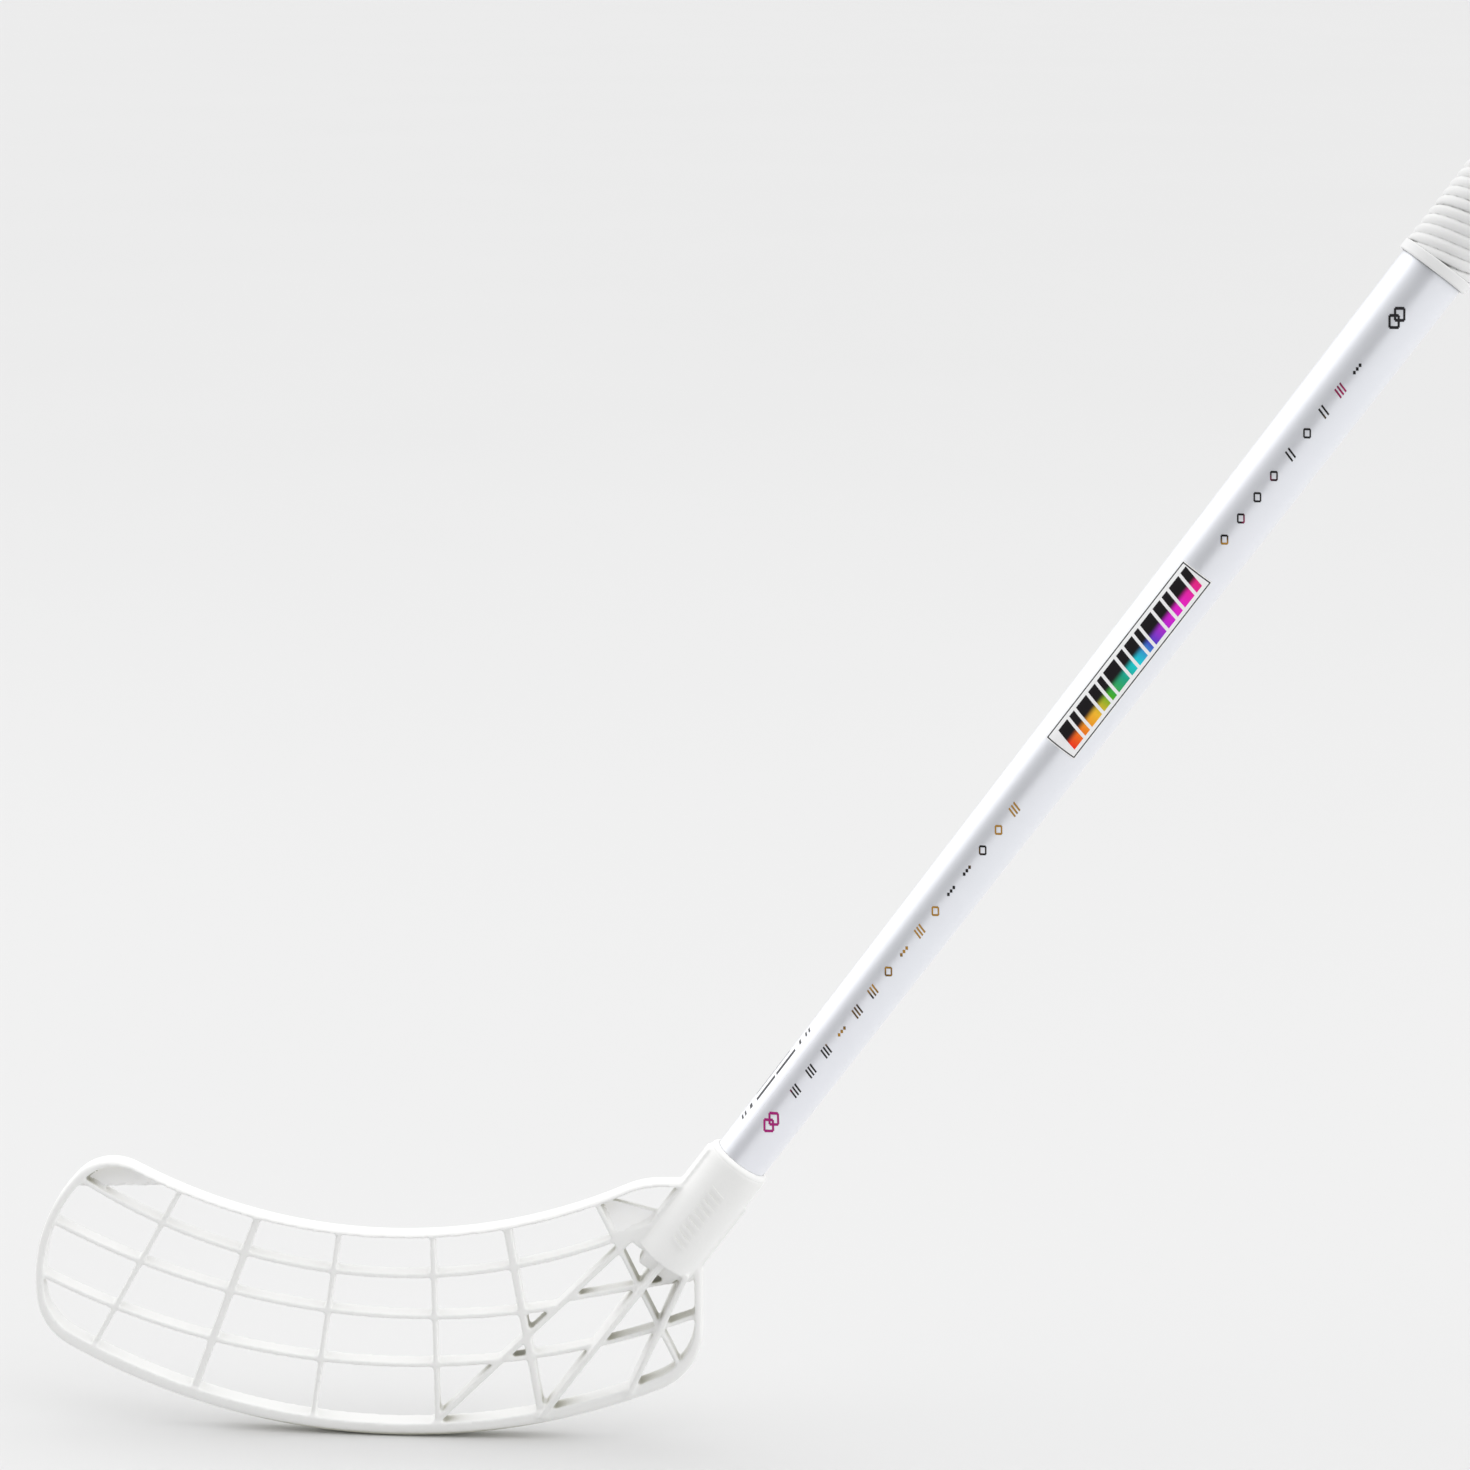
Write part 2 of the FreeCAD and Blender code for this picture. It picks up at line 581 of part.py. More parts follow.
def corner_webs(bed):
    """Thin webs in the toe's upper corner and beside the socket, which lean back between the ribs"""
    place = placed("$toe_web_x", "0", "$toe_web_z", angle="-$toe_web_rise")
    reach, height = ("-$toe_radius", "$toe_radius"), ("0", "$toe_radius")
    toe_web = block("toe_web", reach, both_ways(SPAN), height, place)
    side_web = doc.addObject("PartDesign::Body", "side_web")
    sketch = sketch_on(side_web, "side_web_sketch", "XZ_Plane")

    def on_last_rib(height):
        return f"$cross_6_x + ({height} - $cross_z) * tan($cross_6_lean * 1 deg)", height

    def on_axis(height):
        return f"{height} / tan{LIE}", height

    polygon(sketch, [on_last_rib("$side_web_left"), on_last_rib("$side_web_low"),
                     on_axis("$side_web_low"), on_axis("$side_web_right")])
    pad = side_web.newObject("PartDesign::Pad", "side_web_pad")
    pad.Profile = sketch
    pad.SideType = "Symmetric"
    bind(pad, Length=SPAN)
    webs = []
    for web, pivot in ((toe_web, "$toe_web_z + $toe_rim"), (side_web, "($side_web_left + $side_web_low) / 2")):
        slab = bent_slab(web.Name + "_slab", "$web_depth", "$web_lean", pivot)
        webs.append(shared(web.Name + "_leant", web, slab))
    layer = shared("web_layer", bed, bent_slab("web_room", "$rib_depth"))
    return shared("corner_webs", merged("webs", webs), layer)


def rounded_plate(plate):
    """The plate with its front and back outer edges rounded from the socket round to the heel"""
    doc.recompute()
    lie = math.radians(size("lie_angle"))
    across = Vector(-math.sin(lie), 0, math.cos(lie))
    edges = []
    for n, edge in enumerate(plate.Shape.Edges, start=1):
        ends = [vertex.Point for vertex in edge.Vertexes]
        thickness_way = len(ends) == 2 and abs(ends[1].y - ends[0].y) > size("blade_depth") / 2
        if not thickness_way and max(abs(end.dot(across)) for end in ends) > size("fin_half_width"):
            edges.append((n, size("edge_round"), size("edge_round")))
    item = doc.addObject("Part::Fillet", "rounded_plate")
    item.Base = plate
    item.Edges = edges
    return item


def socket_tip():
    """The socket's closed end: flat facets from the square inside its round to a small end"""
    item = doc.addObject("Part::Wedge", "hosel_tip")
    wide = both_ways("$hosel_d / sqrt(2)")
    across, deep = both_ways("$hosel_tip_width"), both_ways("$hosel_tip_depth")
    bind(item, Ymin="-$hosel_tip_length", Ymax="0")
    bind(item, Xmin=across[0], Xmax=across[1], X2min=wide[0], X2max=wide[1])
    bind(item, Zmin=deep[0], Zmax=deep[1], Z2min=wide[0], Z2max=wide[1])
    return bind(item, Placement=f"{LEAN} * {placed(axis='1; 0; 0', angle='90')}")


def socket():
    """The socket's outside with its closed tip and bevelled mouth, its side fins and its screw bosses"""
    mouth = "($shaft_low_d / 2 + $socket_gap + $lip_edge)"
    hosel = "$hosel_d / 2"
    corners = [("0", "-$hosel_floor"), (hosel, "-$hosel_floor"), (hosel, "$socket_depth - $lip_height"),
               (mouth, "$socket_depth"), ("0", "$socket_depth")]
    solids = [turned("hosel", corners), socket_tip()]
    for side, reach in (("left", ("-$fin_half_width", "0")), ("right", ("0", "$fin_half_width"))):
        height = ("-2 * $hosel_floor", f"$socket_depth - $fin_{side}_drop")
        solids.append(block(f"{side}_fin", reach, both_ways("$rib_depth"), height, LEAN))
    for name in SCREWS:
        x, y, z = screw_seat(name)
        place = placed(x, "0", z, axis="1; 0; 0", angle="-90")
        solids.append(round_bar(name + "_boss", "$boss_d", "$hosel_d / 2 + $boss_height", place))
    return solids


def socket_bores():
    """What is cut out of the socket: the tube's bore, the screws' holes and their heads' seats"""
    bores = [round_bar("tube_bore", "$shaft_low_d + 2 * $socket_gap", "2 * $socket_depth", LEAN)]
    for name in SCREWS:
        x, y, z = screw_seat(name)
        hole = placed(x, "0", z, axis="1; 0; 0", angle="-90")
        seat = placed(x, y, z, axis="1; 0; 0", angle="-90")
        bores.append(round_bar(name + "_hole", HOLE, "$hosel_d", hole))
        bores.append(round_bar(name + "_seat", "$screw_head_d + 2 * $seat_gap", "$hosel_d", seat))
    return bores


def blade():
    whole = outline("blade_outline", "0")
    bed = outline("rib_bed", "0.5")
    windows = outline("window_outline", "1")
    plate = shared("plate", whole, bent_slab("rim_slab", "$blade_depth"))
    rim = cut("rim", rounded_plate(plate), windows)
    braces = [shared(name + "_held", deep_brace(name), bed) for name in ("brace_2", "brace_3")]
    solids = merged("blade_solids", [rim, lattice(bed), corner_webs(bed), *braces, *socket()])
    moulding = cut("moulding", solids, merged("blade_bores", socket_bores()))
    return bind(moulding, Placement=TO_BLADE)


pieces = {
    "blade": blade(),
    "shaft_tube": shaft_tube(),
    "grip_wrap": grip_wrap(),
    "grip_end_ring": grip_end_ring(),
    "end_plug": end_plug(),
    "blade_screw_low": screw("screw_low"),
    "blade_screw_high": screw("screw_high"),
    "label_sticker": sticker("label_film", "label"),
    "side_sticker": sticker("side_film", "side"),
}
for name, piece in pieces.items():
    piece.Label = name
doc.recompute()

for item in doc.Objects:
    if "Invalid" in item.State or "Error" in item.State:
        raise RuntimeError(f"{item.Name} failed: {item.State}")
for piece in pieces.values():
    if piece.Shape.isNull() or not piece.Shape.isValid():
        raise RuntimeError(f"{piece.Label} has no valid shape")

os.makedirs("parts", exist_ok=True)
for piece in pieces.values():
    piece.Shape.exportStep(os.path.join("parts", piece.Label + ".step"))
    box = piece.Shape.BoundBox
    print(f"{piece.Label}: {len(piece.Shape.Solids)} solid, {piece.Shape.Volume:.0f} mm3,",
          f"x {box.XMin:.1f} to {box.XMax:.1f}, y {box.YMin:.1f} to {box.YMax:.1f},",
          f"z {box.ZMin:.1f} to {box.ZMax:.1f}")
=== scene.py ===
import math

import bmesh
import bpy
from mathutils import Matrix, Vector
from mathutils.bvhtree import BVHTree


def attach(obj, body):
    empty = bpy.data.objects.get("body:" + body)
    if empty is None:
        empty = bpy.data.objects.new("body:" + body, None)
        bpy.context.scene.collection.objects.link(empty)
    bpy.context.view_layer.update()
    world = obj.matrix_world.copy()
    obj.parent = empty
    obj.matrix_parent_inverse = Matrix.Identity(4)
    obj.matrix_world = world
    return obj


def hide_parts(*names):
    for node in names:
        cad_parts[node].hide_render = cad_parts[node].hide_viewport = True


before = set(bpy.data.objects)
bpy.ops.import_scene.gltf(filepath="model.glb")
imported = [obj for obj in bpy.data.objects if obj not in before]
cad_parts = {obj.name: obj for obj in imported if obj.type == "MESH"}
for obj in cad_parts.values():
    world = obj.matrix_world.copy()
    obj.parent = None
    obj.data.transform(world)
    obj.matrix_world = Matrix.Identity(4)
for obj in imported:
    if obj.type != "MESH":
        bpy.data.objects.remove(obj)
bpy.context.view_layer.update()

MM = 0.001

# The stick's sizes, as in its solids. A station is a distance from the tube's lower end, up the shaft.
LIE = math.radians(53.5)
ORIGIN_STATION = 685.1 * MM
SHAFT_LENGTH = 870 * MM
SOCKET_DEPTH = 50 * MM
TAPER_START = 62 * MM
TAPER_END = 496 * MM
LOW_RADIUS = 11.2 * MM
HIGH_RADIUS = 13.5 * MM
SHAFT_WALL = 1.4 * MM
HOSEL_RADIUS = 13.4 * MM
GRIP_START = 500.5 * MM
GRIP_END = 869.7 * MM
GRIP_RADIUS = 15 * MM
RING_RADIUS = 15.4 * MM
UNDER_GRIP = 13.55 * MM
PLUG_DEPTH = 42 * MM
PLUG_SPIGOT = 12.0 * MM
PLUG_HOLLOW = 10.0 * MM
PLUG_FLANGE = 14.7 * MM
FLANGE_HEIGHT = 4 * MM
LABEL_STATION, LABEL_LENGTH, LABEL_WIDTH = 307 * MM, 88 * MM, 15 * MM
LABEL_TURN = math.radians(-12)
SIDE_STATION, SIDE_LENGTH, SIDE_WIDTH = 89 * MM, 54 * MM, 15 * MM
SIDE_TURN = math.radians(-82)

# Pieces of the shaft are drawn upright, with the station along Z, and then leant over
LEANT = Matrix.Rotation(math.pi / 2 - LIE, 4, "Y") @ Matrix.Translation((0, 0, -ORIGIN_STATION))


# Nodes and groups that trees share


def shader_group(name, inputs, outputs):
    """An empty group of shader nodes with named inputs and outputs"""
    group = bpy.data.node_groups.new(name, "ShaderNodeTree")
    for label, kind, value in inputs:
        group.interface.new_socket(label, in_out="INPUT", socket_type=kind).default_value = value
    for label, kind in outputs:
        group.interface.new_socket(label, in_out="OUTPUT", socket_type=kind)
    return group, group.nodes.new("NodeGroupInput").outputs, group.nodes.new("NodeGroupOutput").inputs


def feed_socket(tree, socket, value):
    """Links a socket to another, or sets it to a plain value"""
    if isinstance(value, bpy.types.NodeSocket):
        tree.links.new(value, socket)
    else:
        socket.default_value = value


def math_node(tree, operation, first, second):
    """The result of a sum on two sockets or plain values"""
    node = tree.nodes.new("ShaderNodeMath")
    node.operation = operation
    feed_socket(tree, node.inputs[0], first)
    feed_socket(tree, node.inputs[1], second)
    return node.outputs[0]


def shader_noise(tree, coordinates, scale, detail):
    """Noise from 0 to 1"""
    node = tree.nodes.new("ShaderNodeTexNoise")
    node.inputs["Detail"].default_value = detail
    tree.links.new(coordinates, node.inputs["Vector"])
    feed_socket(tree, node.inputs["Scale"], scale)
    return node.outputs["Fac"]


def shader_mix(tree, factor, first, second):
    """A colour between two others"""
    node = tree.nodes.new("ShaderNodeMix")
    node.data_type = "RGBA"
    for label, value in (("Factor", factor), ("A", first), ("B", second)):
        feed_socket(tree, node.inputs[label], value)
    return node.outputs["Result"]


def color_ramp(tree, factor, stops):
    """A colour that runs through (position, colour) stops"""
    ramp = tree.nodes.new("ShaderNodeValToRGB")
    while len(ramp.color_ramp.elements) < len(stops):
        ramp.color_ramp.elements.new(0.5)
    for stop, (position, color) in zip(ramp.color_ramp.elements, stops):
        stop.position = position
        stop.color = (*color, 1)
    tree.links.new(factor, ramp.inputs["Fac"])
    return ramp.outputs["Color"]


# The grain's part in a skin's roughness; the rest is the clouds'
GRAIN_SHARE = 0.3


def make_fine_grain():
    """Grain of a moulded or lacquered skin, with a broad cloudiness under it"""
    group, given, put = shader_group(
        "fine_grain",
        [("Grain Scale", "NodeSocketFloat", 900.0), ("Cloud Scale", "NodeSocketFloat", 14.0),
         ("Low Roughness", "NodeSocketFloat", 0.3), ("High Roughness", "NodeSocketFloat", 0.5)],
        [("Height", "NodeSocketFloat"), ("Cloud", "NodeSocketFloat"), ("Roughness", "NodeSocketFloat")],
    )
    place = group.nodes.new("ShaderNodeTexCoord").outputs["Object"]
    grain = shader_noise(group, place, given["Grain Scale"], 2.0)
    cloud = shader_noise(group, place, given["Cloud Scale"], 4.0)
    both = math_node(group, "ADD", math_node(group, "MULTIPLY", grain, GRAIN_SHARE),
                     math_node(group, "MULTIPLY", cloud, 1 - GRAIN_SHARE))
    span = math_node(group, "SUBTRACT", given["High Roughness"], given["Low Roughness"])
    rough = math_node(group, "ADD", given["Low Roughness"], math_node(group, "MULTIPLY", both, span))
    group.links.new(grain, put["Height"])
    group.links.new(cloud, put["Cloud"])
    group.links.new(rough, put["Roughness"])
    return group


def make_painted_hollow_shade():
    """Painted shade: a colour that turns into another, darker one in a hollow, by how much of the
    surroundings a point sees
    """
    group, given, put = shader_group(
        "painted_hollow_shade",
        [("Open Color", "NodeSocketColor", (1, 1, 1, 1)),
         ("Deep Color", "NodeSocketColor", (0.5, 0.5, 0.5, 1)),
         ("Reach", "NodeSocketFloat", 0.015), ("Open", "NodeSocketFloat", 0.6),
         ("Closed", "NodeSocketFloat", 0.15), ("Strength", "NodeSocketFloat", 1.0)],
        [("Color", "NodeSocketColor")],
    )
    hollow = group.nodes.new("ShaderNodeAmbientOcclusion")
    hollow.samples = 8
    group.links.new(given["Reach"], hollow.inputs["Distance"])
    deep = group.nodes.new("ShaderNodeMapRange")
    deep.interpolation_type = "SMOOTHSTEP"
    group.links.new(hollow.outputs["AO"], deep.inputs["Value"])
    group.links.new(given["Open"], deep.inputs["From Min"])
    group.links.new(given["Closed"], deep.inputs["From Max"])
    share = math_node(group, "MULTIPLY", deep.outputs["Result"], given["Strength"])
    group.links.new(shader_mix(group, share, given["Open Color"], given["Deep Color"]), put["Color"])
    return group


FINE_GRAIN = make_fine_grain()
# Painted shade in hollows, which several materials share
PAINTED_HOLLOW_SHADE = make_painted_hollow_shade()


def placed_group(tree, group, **values):
    """A group in a material, with its inputs set by name"""
    node = tree.nodes.new("ShaderNodeGroup")
    node.node_tree = group
    for label, value in values.items():
        node.inputs[label.replace("_", " ")].default_value = value
    return node


# Materials


def new_material(name):
    """A material with its tree of nodes and its shader"""
    material = bpy.data.materials.new(name)
    material.use_nodes = True
    return material, material.node_tree, material.node_tree.nodes["Principled BSDF"]


def bumped(tree, shader, height, distance):
    """Gives a shader fine relief"""
    bump = tree.nodes.new("ShaderNodeBump")
    bump.inputs["Distance"].default_value = distance
    bump.inputs["Strength"].default_value = 1.0
    tree.links.new(height, bump.inputs["Height"])
    tree.links.new(bump.outputs["Normal"], shader.inputs["Normal"])


def skin_material(name, color, dull, deep, roughness, grain, hollow, shade):
    """A moulded skin: a colour with faint clouds of a duller one, and painted shade in its hollows

    Grain is a scale and a depth. Hollow is how far a point looks round, and the shares of open
    surroundings where the painted shade starts and where it is full. Shade is the full painted shade's
    share.
    """
    material, tree, shader = new_material(name)
    low, high = roughness
    scale, depth = grain
    reach, opened, closed = hollow
    skin = placed_group(tree, FINE_GRAIN, Grain_Scale=scale, Low_Roughness=low, High_Roughness=high)
    # Painted shade: the colour turns to the deep colour in hollows
    painted_shade = placed_group(tree, PAINTED_HOLLOW_SHADE, Deep_Color=(*deep, 1), Reach=reach, Open=opened, Closed=closed,
                        Strength=shade)
    clouds = shader_mix(tree, skin.outputs["Cloud"], (*color, 1), (*dull, 1))
    tree.links.new(clouds, painted_shade.inputs["Open Color"])
    tree.links.new(painted_shade.outputs["Color"], shader.inputs["Base Color"])
    tree.links.new(skin.outputs["Roughness"], shader.inputs["Roughness"])
    bumped(tree, shader, skin.outputs["Height"], depth)
    return material, shader


def white_plastic(name, color, dull, shade):
    """The blade's satin plastic, with a dark, warm painted shade in its hollows"""
    # deep is the colour of the painted shade in the blade's hollows
    material, shader = skin_material(
        name, color, dull, deep=(0.42, 0.41, 0.32), roughness=(0.34, 0.5), grain=(700.0, 0.04 * MM),
        hollow=(14 * MM, 0.62, 0.2), shade=shade)
    shader.inputs["IOR"].default_value = 1.49
    return material, shader


def blade_plastic():
    return white_plastic("blade_plastic", (0.93, 0.93, 0.925), (0.905, 0.905, 0.89), 0.9)[0]


def web_plastic():
    """The blade's plastic where it is thin enough to let light through, with a lighter colour than the rest
    of the blade as painted light, and little painted shade
    """
    # The lighter colour is painted light on the same plastic; the subsurface scattering lets real light
    # through
    material, shader = white_plastic("web_plastic", (0.985, 0.985, 0.98), (0.975, 0.975, 0.965), 0.1)
    shader.inputs["Subsurface Weight"].default_value = 1.0
    shader.inputs["Subsurface Radius"].default_value = (1.0, 0.98, 0.94)
    shader.inputs["Subsurface Scale"].default_value = 5 * MM
    return material


def shaft_lacquer():
    """Pearly lacquer under a clear coat, which drifts between cool tints, with painted shade beside other
    pieces
    """
    material, tree, shader = new_material("shaft_lacquer")
    grain = placed_group(tree, FINE_GRAIN, Grain_Scale=2600.0, Cloud_Scale=9.0,
                         Low_Roughness=0.24, High_Roughness=0.36)
    pearl = shader_mix(tree, grain.outputs["Cloud"], (0.87, 0.905, 0.95, 1), (0.92, 0.915, 0.97, 1))
    flake = math_node(tree, "MULTIPLY", grain.outputs["Height"], 0.12)
    # Painted shade: the tube darkens into a dark line where it meets the ring, the socket's lip and other
    # pieces
    painted_shade = placed_group(tree, PAINTED_HOLLOW_SHADE, Deep_Color=(0.12, 0.12, 0.13, 1), Reach=3 * MM,
                        Open=0.74, Closed=0.45)
    tree.links.new(shader_mix(tree, flake, pearl, (0.92, 0.90, 0.96, 1)), painted_shade.inputs["Open Color"])
    tree.links.new(painted_shade.outputs["Color"], shader.inputs["Base Color"])
    tree.links.new(grain.outputs["Roughness"], shader.inputs["Roughness"])
    shader.inputs["Metallic"].default_value = 0.45
    shader.inputs["Coat Weight"].default_value = 0.6
    shader.inputs["Coat Roughness"].default_value = 0.08
    bumped(tree, shader, grain.outputs["Height"], 0.01 * MM)
    return material


def grip_rubber():
    # Painted shade in the grooves between the strip's ribs
    material, shader = skin_material(
        "grip_rubber", (0.86, 0.86, 0.86), (0.81, 0.81, 0.805), deep=(0.22, 0.22, 0.215),
        roughness=(0.62, 0.8), grain=(1500.0, 0.08 * MM), hollow=(3 * MM, 0.85, 0.4), shade=1.0)
    shader.inputs["Sheen Weight"].default_value = 0.15
    return material


def ring_rubber():
    # Painted shade where the ring meets the tube and the strip
    return skin_material(
        "ring_rubber", (0.88, 0.88, 0.88), (0.84, 0.84, 0.84), deep=(0.25, 0.25, 0.24),
        roughness=(0.4, 0.52), grain=(1200.0, 0.03 * MM), hollow=(3 * MM, 0.8, 0.35), shade=1.0)[0]


def plug_plastic():
    # Painted shade in the groove and the hollow of the plug
    return skin_material(
        "plug_plastic", (0.80, 0.80, 0.80), (0.76, 0.76, 0.755), deep=(0.45, 0.45, 0.43),
        roughness=(0.36, 0.52), grain=(800.0, 0.04 * MM), hollow=(6 * MM, 0.6, 0.15), shade=0.7)[0]


def film_gloss():
    material, tree, shader = new_material("film_gloss")
    grain = placed_group(tree, FINE_GRAIN, Grain_Scale=1800.0, Cloud_Scale=30.0,
                         Low_Roughness=0.2, High_Roughness=0.3)
    film = shader_mix(tree, grain.outputs["Cloud"], (0.97, 0.97, 0.975, 1), (0.955, 0.955, 0.965, 1))
    tree.links.new(film, shader.inputs["Base Color"])
    tree.links.new(grain.outputs["Roughness"], shader.inputs["Roughness"])
    shader.inputs["Coat Weight"].default_value = 0.4
    shader.inputs["Coat Roughness"].default_value = 0.1
    return material


INK_SHINE = 0.2
INK_BLACK, INK_WORN = (0.012, 0.012, 0.014), (0.03, 0.028, 0.032)
INK_DRIFT = (
    (0.40, (0.50, 0.26, 0.03)), (0.44, (0.014, 0.012, 0.014)), (0.53, (0.014, 0.012, 0.014)),
    (0.57, (0.45, 0.01, 0.13)), (0.64, (0.42, 0.01, 0.12)), (0.68, (0.02, 0.015, 0.02)),
)
RAINBOW = (
    (0.00, (1.00, 0.035, 0.008)), (0.10, (1.00, 0.25, 0.01)), (0.20, (1.00, 0.56, 0.03)),
    (0.31, (0.06, 0.48, 0.012)), (0.42, (0.012, 0.42, 0.25)), (0.52, (0.004, 0.70, 0.78)),
    (0.64, (0.07, 0.05, 0.66)), (0.76, (0.62, 0.012, 0.72)), (0.88, (0.95, 0.012, 0.62)),
    (1.00, (0.90, 0.015, 0.26)),
)


def print_ink(name, color, worn, stops=None):
    """Printed ink, slightly uneven in cover; stops give it other colours here and there"""
    material, tree, shader = new_material(name)
    grain = placed_group(tree, FINE_GRAIN, Grain_Scale=2200.0, Cloud_Scale=160.0,
                         Low_Roughness=0.3, High_Roughness=0.45)
    ink = shader_mix(tree, grain.outputs["Cloud"], (*color, 1), (*worn, 1))
    if stops:
        drift = placed_group(tree, FINE_GRAIN, Cloud_Scale=26.0)
        other = color_ramp(tree, drift.outputs["Cloud"], stops)
        ink = shader_mix(tree, math_node(tree, "MULTIPLY", grain.outputs["Height"], 0.3), other, ink)
    tree.links.new(ink, shader.inputs["Base Color"])
    tree.links.new(grain.outputs["Roughness"], shader.inputs["Roughness"])
    shader.inputs["Specular IOR Level"].default_value = INK_SHINE
    return material


# Shares of a block's height where the bright colours begin to fade into black and where they are gone
RAINBOW_FADE = (0.26, 0.54)


def rainbow_ink():
    """Black ink that runs into a row of bright colours along its lower edge"""
    material, tree, shader = new_material("rainbow_ink")
    place = tree.nodes.new("ShaderNodeUVMap")
    place.uv_map = "print"
    split = tree.nodes.new("ShaderNodeSeparateXYZ")
    tree.links.new(place.outputs["UV"], split.inputs[0])
    bright = color_ramp(tree, split.outputs["X"], RAINBOW)
    fade = tree.nodes.new("ShaderNodeMapRange")
    fade.interpolation_type = "SMOOTHSTEP"
    fade.inputs["From Min"].default_value = RAINBOW_FADE[0]
    fade.inputs["From Max"].default_value = RAINBOW_FADE[1]
    tree.links.new(split.outputs["Y"], fade.inputs["Value"])
    tree.links.new(shader_mix(tree, fade.outputs["Result"], bright, (0.012, 0.010, 0.012, 1)),
                   shader.inputs["Base Color"])
    grain = placed_group(tree, FINE_GRAIN, Grain_Scale=2200.0, Cloud_Scale=160.0,
                         Low_Roughness=0.28, High_Roughness=0.42)
    tree.links.new(grain.outputs["Roughness"], shader.inputs["Roughness"])
    shader.inputs["Specular IOR Level"].default_value = INK_SHINE
    return material


def screw_steel():
    """Zinc-plated steel, faintly brushed and cloudy, with painted shade in its recesses"""
    material, tree, shader = new_material("screw_steel")
    grain = placed_group(tree, FINE_GRAIN, Grain_Scale=3000.0, Cloud_Scale=220.0,
                         Low_Roughness=0.25, High_Roughness=0.42)
    zinc = shader_mix(tree, grain.outputs["Cloud"], (0.60, 0.61, 0.63, 1), (0.72, 0.72, 0.73, 1))
    # Painted shade in the screw's recesses
    painted_shade = placed_group(tree, PAINTED_HOLLOW_SHADE, Deep_Color=(0.16, 0.16, 0.17, 1), Reach=2 * MM, Strength=0.8)
    tree.links.new(zinc, painted_shade.inputs["Open Color"])
    tree.links.new(painted_shade.outputs["Color"], shader.inputs["Base Color"])
    tree.links.new(grain.outputs["Roughness"], shader.inputs["Roughness"])
    shader.inputs["Metallic"].default_value = 1.0
    bumped(tree, shader, grain.outputs["Height"], 0.02 * MM)
    return material


LACQUER = shaft_lacquer()
BLACK_INK = print_ink("black_ink", INK_BLACK, INK_WORN)
DRIFTING_INK = print_ink("drifting_ink", INK_BLACK, INK_WORN, INK_DRIFT)
MAGENTA_INK = print_ink("magenta_ink", (0.50, 0.02, 0.22), (0.36, 0.02, 0.18))
GREY_INK = print_ink("grey_ink", (0.045, 0.045, 0.05), (0.09, 0.09, 0.095))
BLADE = blade_plastic()


# Geometry nodes


class Tree:
    """A tree of geometry nodes with named inputs"""

    def __init__(self, name, inputs):
        self.group = bpy.data.node_groups.new(name, "GeometryNodeTree")
        face = self.group.interface
        face.new_socket("Geometry", in_out="OUTPUT", socket_type="NodeSocketGeometry")
        self.sockets = {}
        for label, kind, value in inputs:
            socket = face.new_socket(label, in_out="INPUT", socket_type="NodeSocket" + kind)
            if value is not None:
                socket.default_value = value
            self.sockets[label] = socket.identifier
        self.given = self.group.nodes.new("NodeGroupInput").outputs
        self.out = self.group.nodes.new("NodeGroupOutput").inputs[0]

    def node(self, kind, settings=None, **links):
        node = self.group.nodes.new(kind)
        for label, value in (settings or {}).items():
            setattr(node, label, value)
        for label, value in links.items():
            self.feed(node.inputs[label.replace("_", " ")], value)
        return node

    def feed(self, socket, value):
        feed_socket(self.group, socket, value)

    def math(self, operation, first, second=0.0):
        return math_node(self.group, operation, first, second)

    def place(self):
        """The three coordinates of a point"""
        split = self.node("ShaderNodeSeparateXYZ")
        self.feed(split.inputs[0], self.group.nodes.new("GeometryNodeInputPosition").outputs[0])
        return split.outputs

    def moved(self, geometry, x, y, z):
        """The geometry with its points at given coordinates"""
        join = self.group.nodes.new("ShaderNodeCombineXYZ")
        for socket, value in zip(join.inputs, (x, y, z)):
            self.feed(socket, value)
        return self.node("GeometryNodeSetPosition", Geometry=geometry, Position=join.outputs[0]).outputs[0]

    def around(self, radius, angle, height):
        """Coordinates on a round upright shape, with angle 0 at the front and growing to the right"""
        across = self.math("MULTIPLY", radius, self.math("SINE", angle))
        deep = self.math("MULTIPLY", self.math("MULTIPLY", radius, self.math("COSINE", angle)), -1.0)
        return across, deep, height

    def end(self, geometry, material):
        """Realizes the result, gives it its material and puts it out"""
        real = self.node("GeometryNodeRealizeInstances", Geometry=geometry).outputs[0]
        smooth = self.node("GeometryNodeSetShadeSmooth", Geometry=real).outputs[0]
        dressed = self.node("GeometryNodeSetMaterial", Geometry=smooth, Material=material).outputs[0]
        self.group.links.new(dressed, self.out)


# How full a rib's round back is, and the share of the strip on each side of its seam that dips into it
RIB_FULLNESS = 0.55
SEAM_SHARE = 0.05


